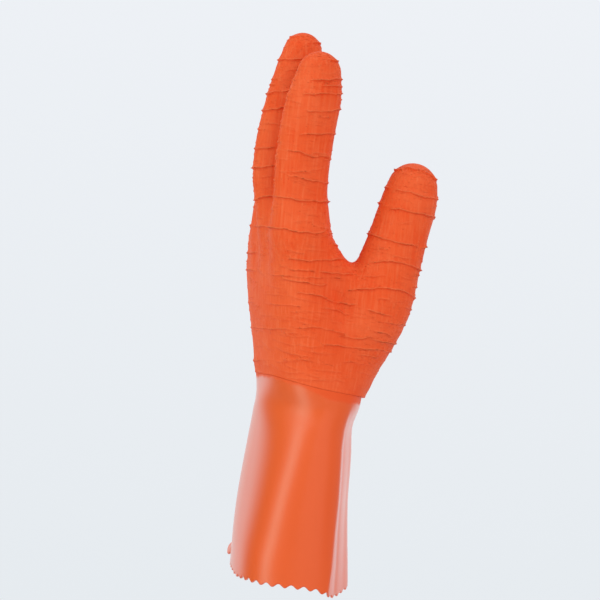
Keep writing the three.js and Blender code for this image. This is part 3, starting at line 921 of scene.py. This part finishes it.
crinkledRubber = {
    "colour": (0.855, 0.092, 0.020, 1),
    "deep": (0.80, 0.040, 0.003, 1),  # darker red of the striations and crinkles, and painted shade in the fold below each crest
    "pale": (0.93, 0.175, 0.062, 1),  # paler tone of patches and striations, and painted highlight on the crests
    "roughness": 0.60,
    "roughnessSpread": 0.06,
    "specular": 0.14,
    "sheen": 0.12,
    "sheenRoughness": 0.3,
    "sheenTint": (1.0, 0.34, 0.14, 1),
    "crestRelief": 0.00013,  # metres
    "striation": 0.00008,
    "crinkle": 0.00014,
    "fine": 0.00003,
    "calm": 0.4,  # share of the texture that is left at the wrist
    "calmBelow": (0.120, 0.165),  # metres
    # middle and width of the painted shade below a crest and of the painted highlight on it, and their
    # strength
    "foldShadeBand": (-0.42, 0.5),
    "crestHighlightBand": (0.3, 0.45),
    "paintedBandStrength": 0.6,
    # cells for each metre, across, back to front and up
    "patchGrain": (45, 45, 60),
    "striationGrain": (760, 760, 48),
    "crinkleGrain": (95, 95, 620),
    "fineGrain": (2600, 2600, 2600),
    # how much of another colour each texture brings in
    "palePatches": 0.25,
    "paleStriations": 0.45,
    "deepStriations": 0.42,
    "deepCrinkles": 0.22,
}


def makeCrinkledRubber():
    material, tree, surface = newMaterial("crinkledRubber")
    look = crinkledRubber
    gap, size = attribute(tree, "crestGap"), attribute(tree, "crestSize")
    place = addNode(tree, "TexCoord").outputs["Object"]
    height = addNode(tree, "SeparateXYZ", {0: place}).outputs[2]
    lively = mapRange(tree, height, *look["calmBelow"], look["calm"], 1.0)
    # painted shade in the fold below each crest and painted highlight on its top; both also shape the bump
    foldReliefAndShade = mathNode(tree, "MULTIPLY", bandAround(tree, gap, *look["foldShadeBand"]), size, True)
    crest = mathNode(tree, "MULTIPLY", bandAround(tree, gap, *look["crestHighlightBand"]), size, True)
    patch = grain(tree, look["patchGrain"])
    striation = grain(tree, look["striationGrain"], detail=3.0, roughness=0.6, distortion=0.3)
    crinkle = grain(tree, look["crinkleGrain"], detail=4.0, roughness=0.6, distortion=0.9)
    fine = grain(tree, look["fineGrain"], detail=1.0)
    crinkled = mathNode(tree, "MULTIPLY", mapRange(tree, crinkle, 0.44, 0.30), lively)
    crinkled = mathNode(tree, "MULTIPLY", crinkled, mapRange(tree, patch, 0.35, 0.6, 0.2, 1.0))
    striped = mathNode(tree, "MULTIPLY", mapRange(tree, striation, 0.5, 0.3), lively)
    striped = mathNode(tree, "MULTIPLY", striped, mapRange(tree, patch, 0.6, 0.4, 0.35, 1.0))
    patched = mapRange(tree, patch, 0.3, 0.7, 0.0, look["palePatches"])
    tone = mixColour(tree, patched, look["colour"], look["pale"])
    lit = mapRange(tree, striation, 0.52, 0.72, 0.0, look["paleStriations"])
    tone = mixColour(tree, lit, tone, look["pale"])
    # striations and crinkles darken the tone, then the crests' painted highlight and painted shade go on
    for share, strength, colour in (
        (striped, look["deepStriations"], look["deep"]),
        (crinkled, look["deepCrinkles"], look["deep"]),
        (crest, look["paintedBandStrength"], look["pale"]),
        (foldReliefAndShade, look["paintedBandStrength"], look["deep"]),
    ):
        tone = mixColour(tree, mathNode(tree, "MULTIPLY", share, strength), tone, colour)
    tree.links.new(tone, surface.inputs["Base Color"])
    surface.inputs["Specular IOR Level"].default_value = look["specular"]
    surface.inputs["Sheen Weight"].default_value = look["sheen"]
    surface.inputs["Sheen Roughness"].default_value = look["sheenRoughness"]
    surface.inputs["Sheen Tint"].default_value = look["sheenTint"]
    middle, spread = look["roughness"], look["roughnessSpread"]
    rough = mapRange(tree, striation, 0.3, 0.7, middle + spread, middle - spread)
    tree.links.new(rough, surface.inputs["Roughness"])
    relief = bump(tree, mathNode(tree, "SUBTRACT", crest, foldReliefAndShade), look["crestRelief"])
    relief = bump(tree, mathNode(tree, "SUBTRACT", 1.0, crinkled), look["crinkle"], relief)
    relief = bump(tree, mathNode(tree, "MULTIPLY", striation, lively), look["striation"], relief)
    relief = bump(tree, fine, look["fine"], relief)
    tree.links.new(relief, surface.inputs["Normal"])
    return material


smoothRubber = {
    "colour": (0.87, 0.108, 0.010, 1),
    "deep": (0.80, 0.078, 0.006, 1),
    "handColour": (0.86, 0.088, 0.012, 1),  # of the band that the coat ran into below the hem
    "roughness": 0.315,
    "handRoughness": 0.56,
    "specular": 0.42,
    "coat": 1.0,
    "coatRoughness": 0.3,
    "ripple": 0.00016,  # metres
    "fine": 0.000012,
    # cells for each metre, across, back to front and up
    "cloudGrain": (38, 38, 16),
    "rippleGrain": (55, 55, 14),
    "fineGrain": (1500, 1500, 1500),
}


def makeSmoothRubber():
    material, tree, surface = newMaterial("smoothRubber")
    look = smoothRubber
    dip = attribute(tree, "dip")
    rim = attribute(tree, "rim")
    cloud = grain(tree, look["cloudGrain"])
    ripple = grain(tree, look["rippleGrain"], shift=(3, 1, 7))
    fine = grain(tree, look["fineGrain"])
    tone = mixColour(tree, mapRange(tree, cloud, 0.1, 0.9, 0.0, 0.4), look["colour"], look["deep"])
    tone = mixColour(tree, mapRange(tree, fine, 0.2, 0.8, 0.0, 0.12), tone, look["deep"])
    tone = mixColour(tree, dip, tone, look["handColour"])
    tone = mixColour(tree, rim, tone, look["deep"])
    tree.links.new(tone, surface.inputs["Base Color"])
    surface.inputs["Specular IOR Level"].default_value = look["specular"]
    tree.links.new(mapRange(tree, dip, 0.0, 1.0, look["coat"], 0.0), surface.inputs["Coat Weight"])
    surface.inputs["Coat Roughness"].default_value = look["coatRoughness"]
    worn = mapRange(tree, cloud, 0.1, 0.9, -0.03, 0.04)
    byPlace = mapRange(tree, dip, 0.0, 1.0, look["roughness"], look["handRoughness"])
    rough = mathNode(tree, "ADD", worn, byPlace)
    tree.links.new(rough, surface.inputs["Roughness"])
    relief = bump(tree, ripple, look["ripple"])
    relief = bump(tree, fine, look["fine"], relief)
    tree.links.new(relief, surface.inputs["Normal"])
    return material


# The inside is bare rubber, duller and browner, with a fine grain.
insideRubber = {
    "colour": (0.55, 0.075, 0.024, 1),
    "deep": (0.36, 0.035, 0.012, 1),
    "roughness": 0.72,
    "roughnessSpread": 0.08,
    "specular": 0.2,
    "fine": 0.00006,  # metres
    # cells for each metre, across, back to front and up
    "cloudGrain": (90, 90, 60),
    "fineGrain": (1300, 1300, 1300),
}


def makeInsideRubber():
    material, tree, surface = newMaterial("insideRubber")
    look = insideRubber
    cloud = grain(tree, look["cloudGrain"], detail=3.0)
    fine = grain(tree, look["fineGrain"])
    tone = mixColour(tree, mapRange(tree, cloud, 0.3, 0.7), look["colour"], look["deep"])
    tree.links.new(tone, surface.inputs["Base Color"])
    surface.inputs["Specular IOR Level"].default_value = look["specular"]
    middle, spread = look["roughness"], look["roughnessSpread"]
    rough = mapRange(tree, fine, 0.3, 0.7, middle - spread, middle + spread)
    tree.links.new(rough, surface.inputs["Roughness"])
    tree.links.new(bump(tree, fine, look["fine"]), surface.inputs["Normal"])
    return material


outsideOfHand = makeCrinkledRubber()
outsideOfGauntlet = makeSmoothRubber()
inside = makeInsideRubber()


# The hand: outer surface, the turn under its hem, the lap over the gauntlet, then the inner wall.
def makeHand():
    loop = borderLoop(outerPoints, outerQuads)
    hem = shapedPoints[loop]
    lapFace = [ringAt(hem, row, -form["coatAtLap"]) for row in hemLook["innerRows"]]
    under = [blendOf(hem, lapFace[0], share) for share in (0.25, 0.75)]
    for ring, hang in zip(under, hemLook["hang"]):
        ring[:, 2] -= hang
    innerPoints, _, _, innerQuads = buildHandSurface(
        handNet["innerCell"], form["handWall"], handNet["innerStart"])
    rings = under + lapFace
    points = np.vstack([shapedPoints] + rings + [innerPoints])
    starts = len(shapedPoints) + len(loop) * np.arange(len(rings))
    loops = [loop] + [start + np.arange(len(loop)) for start in starts]
    innerStart = len(points) - len(innerPoints)
    innerLoop = borderLoop(innerPoints, innerQuads)
    turnUnder = np.vstack([stitch(high, low) for low, high in zip(loops[:3], loops[1:4])])
    lapWall = np.vstack([stitch(high, low) for low, high in zip(loops[3:], loops[4:])])
    ledge = zipLoops(loops[-1], innerStart + innerLoop, turnOf(rings[-1]), turnOf(innerPoints[innerLoop]))
    outer = splitQuads(outerQuads, liftOf)
    wall = innerStart + innerQuads
    extra = len(points) - len(shapedPoints)
    made = makeObject(
        "hand_rubber", points,
        [outer, turnUnder, lapWall, ledge[:, ::-1], wall[:, ::-1]],
        [outsideOfHand, inside], len(outer) + len(turnUnder),
        {"crestGap": np.append(paintGap, np.ones(extra)), "crestSize": np.append(paintSize, np.zeros(extra))},
        loop,
    )
    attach(made, "root")
    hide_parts("hand")
    return made


handPiece = makeHand()
print("hand made:", len(handPiece.data.polygons), "faces")


# Long soft folds: share of the way round the mouth, drift as it climbs, width, height, from and to.
gauntletFolds = [
    (0.075, 0.02, 0.014, -0.5, -30, 70),
    (0.91, 0.04, 0.03, 0.15, -20, 108),
    (0.845, 0.02, 0.03, -0.15, -15, 104),
    (0.64, -0.03, 0.04, -0.9, 0, 84),
    (0.43, 0.02, 0.035, 0.9, -10, 90),
    (0.3, 0.02, 0.04, -0.9, 5, 92),
]

# Shallow dips of the flat face beyond the crease.
creaseFolds = [
    (0.078, 0.0, 0.011, -0.3, -60, 130),
    (0.125, 0.01, 0.014, -0.2, -30, 112),
]

gauntletLook = {
    "columns": 480,
    "scallops": 40,
    "scallopDepth": 2.0,
    "lobeRound": 0.06,  # how blunt the lobes of the edge are
    "lobeShape": (0.65, 0.35, 0.55),  # share of the soft wave, of the pointed one, and how far both drop
    "mouthEase": 12,  # columns to each side that even out the mouth's height
    # height of the mouth, by the share of the way round
    "mouth": [(-0.5, 0.5), (-0.43, 4.0), (-0.38, 4.2), (-0.3, 3.5), (-0.25, 3.9), (-0.21, 2.7), (-0.15, 4.4),
              (-0.09, 4.8), (-0.05, 5.2), (0.0, 4.9), (0.03, 3.2), (0.06, -0.3), (0.09, -0.7), (0.12, 0.0),
              (0.17, 1.8), (0.25, 2.2), (0.5, 0.5)],
    "waveFades": 14.0,
    # the corner of the mouth that flares out on the far side: share of the way round, width,
    # how far and how high
    "flare": (-0.412, 0.024, 5.6, 18.0),
    # the section as it is worn, rounder than the form and back to it towards the hem: height, squareness,
    # how much deeper and how far the deepest place lies towards the thumb
    "backSide": [(-10, 2.1, 3.4, 16.5), (8, 2.1, 3.9, 17.5), (16, 2.2, 4.3, 17.5), (24, 2.3, 3.8, 13.5),
                 (36, 2.5, 3.05, 10.5), (48, 2.6, 2.3, 7.5), (60, 2.6, 1.8, 4.5), (72, 2.55, 1.15, 0.5),
                 (84, 2.3, 1.3, -1.5), (92, 1.85, 2.2, -1.5), (98, 1.75, 2.8, 0.0), (120, 1.75, 2.8, 0.0)],
    "palmSide": [(-10, 2.15, 4.4, 0), (24, 2.15, 2.6, 0), (50, 2.15, 1.9, 0), (70, 2.15, 2.8, 0),
                 (120, 2.15, 2.6, 0)],
    "formFrom": 88.0,  # row of the mesh
    "formAll": 104.5,
    # the creased corner at the thumb: height and how far across the picture in mm
    "crease": [(-6, 20.6), (0, 20.8), (16, 21.4), (34, 21.2), (52, 21.5), (79, 19.9), (90, 21.0),
               (112, 23.0)],
    "creaseSoft": 0.3,
    "swellBack": 0.62,
    "swellFront": 0.72,
    "swellRows": (90, 103.5),
    "tiltRows": (60, 96),  # rows tilt to the hem from the first to the second
    "stepRow": 104.93,  # where the swelling below the hem ends
    "dipBack": 1.3,  # how far the hand's coat ran on below its hem
    "dipFront": 4.4,
    "rimRows": (0.3, 1.3),
    "rimDark": 0.55,
    # rows of the mesh: at the mouth, then from, to and step up the wall, then about the hem
    "mouthRows": [0.5, 0.9, 1.5, 2.3, 3.3],
    "wallRows": (4.6, 94, 1.9),
    "fineRows": (94.5, 104.4, 0.75),
    "hemRows": (-0.09, -0.05, 0.3, 3),
    "innerRows": (100, 6, -5.0),
    "innerMouthRows": [4, 2, 1.2, 0.6],
}


def foldHeight(folds, around, z):
    height = np.zeros(np.broadcast(around, z).shape)
    for place, drift, width, tall, low, high in folds:
        climb = (z - low) / (high - low)
        inside = (climb > 0) & (climb < 1)
        offset = around - place - drift * climb
        nearest = offset - np.round(offset)
        height += inside * tall * softBand(nearest, 0, width) * np.sin(np.pi * climb) ** 2
    return height


def bend(value, square):
    return np.sign(value) * np.abs(value) ** (2 / square)


# A table's columns at every millimetre of height, with its corners rounded off.
def easedTable(table, reach=7):
    heights, *columns = np.transpose(table)
    fine = np.arange(heights[0], heights[-1] + 1)
    window = np.ones(2 * reach + 1) / (2 * reach + 1)
    padded = [np.pad(np.interp(fine, heights, column), reach, mode="edge") for column in columns]
    return [fine] + [np.convolve(column, window, "valid") for column in padded]


wornSides = [easedTable(gauntletLook[side]) for side in ("backSide", "palmSide")]


# Points of the worn section, with its folds, at each angle and share of the way round,
# and the way out at each.
def foldedSection(z, row, angle, around, offset):
    worn = 1 - smoothStep(gauntletLook["formFrom"], gauntletLook["formAll"], row)
    middle, width, depth, square = armAt(z)
    slide = 0
    for table, on in zip(wornSides, (np.sin(angle) <= 0, np.sin(angle) > 0)):
        squares, deeper, slides = (np.interp(z, table[0], column) for column in table[1:])
        square = np.where(on, square + (squares - square) * worn, square)
        depth = np.where(on, depth + deeper * worn, depth)
        slide = np.where(on, slides * worn, slide)
    width, depth = width + offset, depth + offset
    x, y = width * bend(np.cos(angle), square), depth * bend(np.sin(angle), square)
    outX, outY = x / width**2, y / depth**2
    x = x + slide * (1 - (x / width) ** 2)
    size = np.hypot(outX, outY)
    lift = foldHeight(gauntletFolds, around, z)
    return x + outX / size * lift, middle + y + outY / size * lift, outX / size, outY / size, worn


# Angles that space the columns evenly round the mouth.
def evenAngles(columns):
    angle = np.linspace(0, 2 * np.pi, 4001)
    x, y, _, _, _ = foldedSection(np.zeros(len(angle)), 0.0, angle, np.full(len(angle), -0.25), 0.0)
    length = np.append(0, np.cumsum(np.hypot(np.diff(x), np.diff(y))))
    return np.interp(np.arange(columns) / columns * length[-1], length, angle)


gauntletAngles = evenAngles(gauntletLook["columns"])
gauntletShares = np.arange(gauntletLook["columns"]) / gauntletLook["columns"]
outerOffset = -form["coatAtLap"] - form["fitGap"]


# The flat face beyond the crease runs straight on to the outline.
# At each height, which way it looks, as x and y, and how far out it lies.
def creaseFaces():
    heights = np.arange(-6.0, 113, 2)
    azimuth = math.radians(cameraSetup["azimuth"])
    faces = []
    for z in heights:
        level = np.full(len(gauntletAngles), z)
        x, y, _, _, _ = foldedSection(level, z, gauntletAngles, gauntletShares, outerOffset)
        across = math.cos(azimuth) * x + math.sin(azimuth) * y
        near = math.sin(azimuth) * x - math.cos(azimuth) * y
        outline = np.argmax(across)
        wanted = np.interp(z, *np.transpose(gauntletLook["crease"]))
        side = np.argsort(np.where(near > near[outline], across, 1e9))[: np.sum(near > near[outline])]
        start = np.array([wanted, np.interp(wanted, across[side], near[side])])
        run = np.array([across[outline], near[outline]]) - start
        outAcross, outNear = np.array([-run[1], run[0]]) / np.hypot(*run)
        out = (outAcross * math.cos(azimuth) + outNear * math.sin(azimuth),
               outAcross * math.sin(azimuth) - outNear * math.cos(azimuth))
        faces.append((*out, outAcross * start[0] + outNear * start[1]))
    return heights, np.array(faces).T


creaseHeights, creasePlanes = creaseFaces()


# Presses in whatever stands beyond the flat face.
def pressCrease(x, y, z, worn, offset):
    outX, outY, reach = (np.interp(z, creaseHeights, plane) for plane in creasePlanes)
    soft = gauntletLook["creaseSoft"]
    beyond = outX * x + outY * y - reach - (offset - outerOffset)
    press = worn * soft * np.logaddexp(0, beyond / soft)
    return x - outX * press, y - outY * press


# A ring of the gauntlet's wall, moved in or out from the arm's form, on one row of its mesh.
def gauntletRing(row, offset, smooth=False):
    look = gauntletLook
    x = y = np.zeros(look["columns"])
    signedShares = (gauntletShares + 0.5) % 1 - 0.5
    swing = np.sin(np.pi * look["scallops"] * gauntletShares) ** 2
    soft, pointed, drop = look["lobeShape"]
    lobes = look["scallopDepth"] * (soft * swing + pointed * np.sqrt(swing + look["lobeRound"]) - drop)
    mouthLine = np.interp(signedShares, *np.transpose(look["mouth"]))
    ease = look["mouthEase"]
    mouth = np.mean([np.roll(mouthLine, step) for step in range(-ease, ease + 1)], axis=0)
    place, wide, flare, upTo = look["flare"]
    flaring = flare * softBand(signedShares, place, wide) * (1 - smoothStep(0, upTo, row))
    for _ in range(3):
        share = smoothStep(*look["tiltRows"], row)
        low = 1 - smoothStep(0, look["waveFades"], row)
        z = row + share * hemTilt(x, y) + low * (mouth + lobes)
        x, y, outX, outY, worn = foldedSection(z, row, gauntletAngles, gauntletShares, offset)
        x, y = pressCrease(x, y, z, worn, offset)
        dent = worn * foldHeight(creaseFolds, gauntletShares, z)
        swell = blendOf(look["swellBack"], look["swellFront"], hemFront(y))
        swell = swell * smoothStep(*look["swellRows"], row) * (row < look["stepRow"]) * (not smooth)
        swell = swell + flaring + dent
        x, y = x + outX * swell, y + outY * swell
    return np.column_stack([x, y, z])


# The wall runs up its outside, over the neck's top and down its inside, and turns round the mouth's edge.
def makeGauntlet():
    look = gauntletLook
    hem = form["hemHeight"]
    out, back = outerOffset, outerOffset - form["gauntletWall"]
    outerRows = np.concatenate([
        look["mouthRows"], np.arange(*look["wallRows"]), np.arange(*look["fineRows"]),
        [hem + above for above in look["hemRows"]] + [hem + form["lap"] - 0.4],
    ])
    rim = [(0.12, out - 0.22), (0, out - 0.8), (0.12, back + 0.22)]
    top = [(hem + form["lap"], out - 0.3), (hem + form["lap"], back + 0.3)]
    innerRows = np.concatenate([
        [hem + form["lap"] - 0.4, hem + 2], np.arange(*look["innerRows"]), look["innerMouthRows"],
    ])
    rings = [gauntletRing(row, offset) for row, offset in rim[::-1]]
    rings += [gauntletRing(row, out) for row in outerRows]
    rings += [gauntletRing(row, offset, True) for row, offset in top]
    rings += [gauntletRing(row, back, True) for row in innerRows]
    columns = look["columns"]
    loops = [columns * i + np.arange(columns) for i in range(len(rings))]
    bands = [stitch(low, high) for low, high in zip(loops, loops[1:] + loops[:1])]
    outsideBands = len(rim) + len(outerRows) - 1
    points = np.vstack(rings)
    rowOf = np.concatenate([[row for row, _ in rim[::-1]], outerRows, [hem + form["lap"]] * 2, innerRows])
    row = np.repeat(rowOf, columns)
    front = hemFront(points[:, 1])
    wander = 0.7 * np.sin(turnOf(points) * 9) + 0.5 * np.sin(turnOf(points) * 23 + 1)
    start = -blendOf(look["dipBack"], look["dipFront"], front)
    dip = smoothStep(start - 0.9, start + 0.9, row - hem + wander * 0.4)
    rimEdge = (1 - smoothStep(*look["rimRows"], row)) * look["rimDark"]
    step = len(rim) + len(outerRows) - 5
    made = makeObject(
        "gauntlet_rubber", points, bands, [outsideOfGauntlet, inside], outsideBands * columns,
        {"dip": dip, "rim": rimEdge}, loops[step],
    )
    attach(made, "root")
    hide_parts("gauntlet")
    return made


gauntletPiece = makeGauntlet()
print("gauntlet made:", len(gauntletPiece.data.polygons), "faces")


stageLook = {
    "skyTop": (0.860, 0.885, 0.925, 1),
    "skyLow": (0.790, 0.830, 0.865, 1),
    "skyFades": (-0.22, 0.10),  # sine of the elevation
    # brightness by azimuth, from -180 to 180 degrees, of the walls that light the glove
    # seen past the glove they are even
    "walls": [(-180, 0.35), (-160, 0.5), (-145, 1.15), (-120, 1.15), (-76, 0.95), (-63, 0.9), (-51, 0.15),
              (-18, 0.12), (-6, 0.35), (8, 1.6), (19, 2.3), (30, 1.6), (46, 0.5), (66, 0.35), (120, 0.35),
              (150, 0.3), (180, 0.35)],
    "glow": {"from": -6, "to": 46, "tint": (0.5, 1.0, 0.86)},  # colour of the bright part of the walls
    "ceiling": 1.0,
    "wallsUpTo": (0.3, 0.6),  # sine of the elevation
    "floorHeight": -0.60,
    "floorRadius": 2.6,
    "floorFadesFrom": 0.9,
    "floorSides": 96,
    "floorColour": (0.80, 0.82, 0.84, 1),
    "floorDots": (0.70, 0.72, 0.75, 1),
}


def makeStudio():
    bpy.context.scene.view_settings.view_transform = "Standard"
    world = bpy.data.worlds.new("paleStudio")
    bpy.context.scene.world = world
    world.use_nodes = True
    tree = world.node_tree
    tree.nodes.clear()
    direction = addNode(tree, "TexCoord").outputs["Generated"]
    parts = addNode(tree, "SeparateXYZ", {0: direction})
    upward = mapRange(tree, parts.outputs[2], *stageLook["skyFades"])
    colour = mixColour(tree, upward, stageLook["skyLow"], stageLook["skyTop"])
    backward = mathNode(tree, "MULTIPLY", parts.outputs[1], -1.0)
    azimuth = mathNode(tree, "ARCTAN2", parts.outputs[0], backward)
    walls = addNode(tree, "ValToRGB", {0: mapRange(tree, azimuth, -math.pi, math.pi)})
    walls.color_ramp.interpolation = "EASE"
    ramp = walls.color_ramp.elements
    for number, (degrees, bright) in enumerate(stageLook["walls"]):
        stop = ramp[number] if number < 2 else ramp.new(1.0)
        stop.position = (degrees + 180) / 360
        glow = stageLook["glow"]
        tint = glow["tint"] if glow["from"] < degrees < glow["to"] else (1, 1, 1)
        stop.color = (*(bright * part for part in tint), 1)
    seen = addNode(tree, "LightPath").outputs["Is Camera Ray"]
    over = mapRange(tree, parts.outputs[2], *stageLook["wallsUpTo"], 0.0, 1.0)
    ceiling = stageLook["ceiling"]
    light = mixColour(tree, over, walls.outputs[0], (ceiling, ceiling, ceiling, 1))
    light = mixColour(tree, seen, light, (1, 1, 1, 1))
    shine = addNode(tree, "VectorMath", {0: colour, 1: light}, operation="MULTIPLY")
    sky = addNode(tree, "Background", {0: shine.outputs[0]})
    tree.links.new(sky.outputs[0], addNode(tree, "OutputWorld").inputs[0])


def makeFloor():
    material, tree, surface = newMaterial("paleFloor")
    place = addNode(tree, "TexCoord").outputs["Object"]
    away = addNode(tree, "VectorMath", {0: place}, operation="LENGTH").outputs["Value"]
    speckle = grain(tree, (140, 140, 140))
    dotted = mapRange(tree, speckle, 0.3, 0.7, 0.0, 0.04)
    tone = mixColour(tree, dotted, stageLook["floorColour"], stageLook["floorDots"])
    tree.links.new(tone, surface.inputs["Base Color"])
    surface.inputs["Roughness"].default_value = 0.8
    surface.inputs["Specular IOR Level"].default_value = 0.1
    radius, sides = stageLook["floorRadius"], stageLook["floorSides"]
    fading = mapRange(tree, away, stageLook["floorFadesFrom"], radius - 0.1, 1.0, 0.0)
    tree.links.new(fading, surface.inputs["Alpha"])
    turns = np.linspace(0, 2 * math.pi, sides + 1)[:-1]
    corners = [(math.cos(turn) * radius, math.sin(turn) * radius, 0) for turn in turns]
    mesh = bpy.data.meshes.new("floor")
    mesh.from_pydata(corners, [], [list(range(sides))])
    mesh.materials.append(material)
    floor = bpy.data.objects.new("floor", mesh)
    floor.location.z = stageLook["floorHeight"]
    floor.visible_glossy = False
    bpy.context.scene.collection.objects.link(floor)


# Soft lights: azimuth, elevation and distance from the glove, size across and up, power and colour.
# They light the rubber evenly from both sides, and only the walls and the ceiling shine back in its gloss.
lights = {
    "leftSoftbox": (0, 12, 1.6, 1.5, 1.5, 11.1, (0.98, 1.0, 0.99)),
    "rightSoftbox": (107, 12, 1.6, 1.3, 1.5, 10.8, (1.0, 0.99, 0.98)),
}


lightsFace = np.array([0, -0.01, 0.15])  # the spot that they face


def makeLights():
    for name, (azimuth, elevation, distance, wide, tall, power, colour) in lights.items():
        back, level, upright = standAxes(azimuth, elevation)
        lamp = bpy.data.lights.new(name, "AREA")
        lamp.shape = "RECTANGLE"
        lamp.size, lamp.size_y = wide, tall
        lamp.energy = power
        lamp.color = colour
        light = bpy.data.objects.new(name, lamp)
        light.visible_glossy = False
        standObject(light, level, upright, back, lightsFace + back * distance)


makeStudio()
makeFloor()
makeLights()
print("stage and lights made")
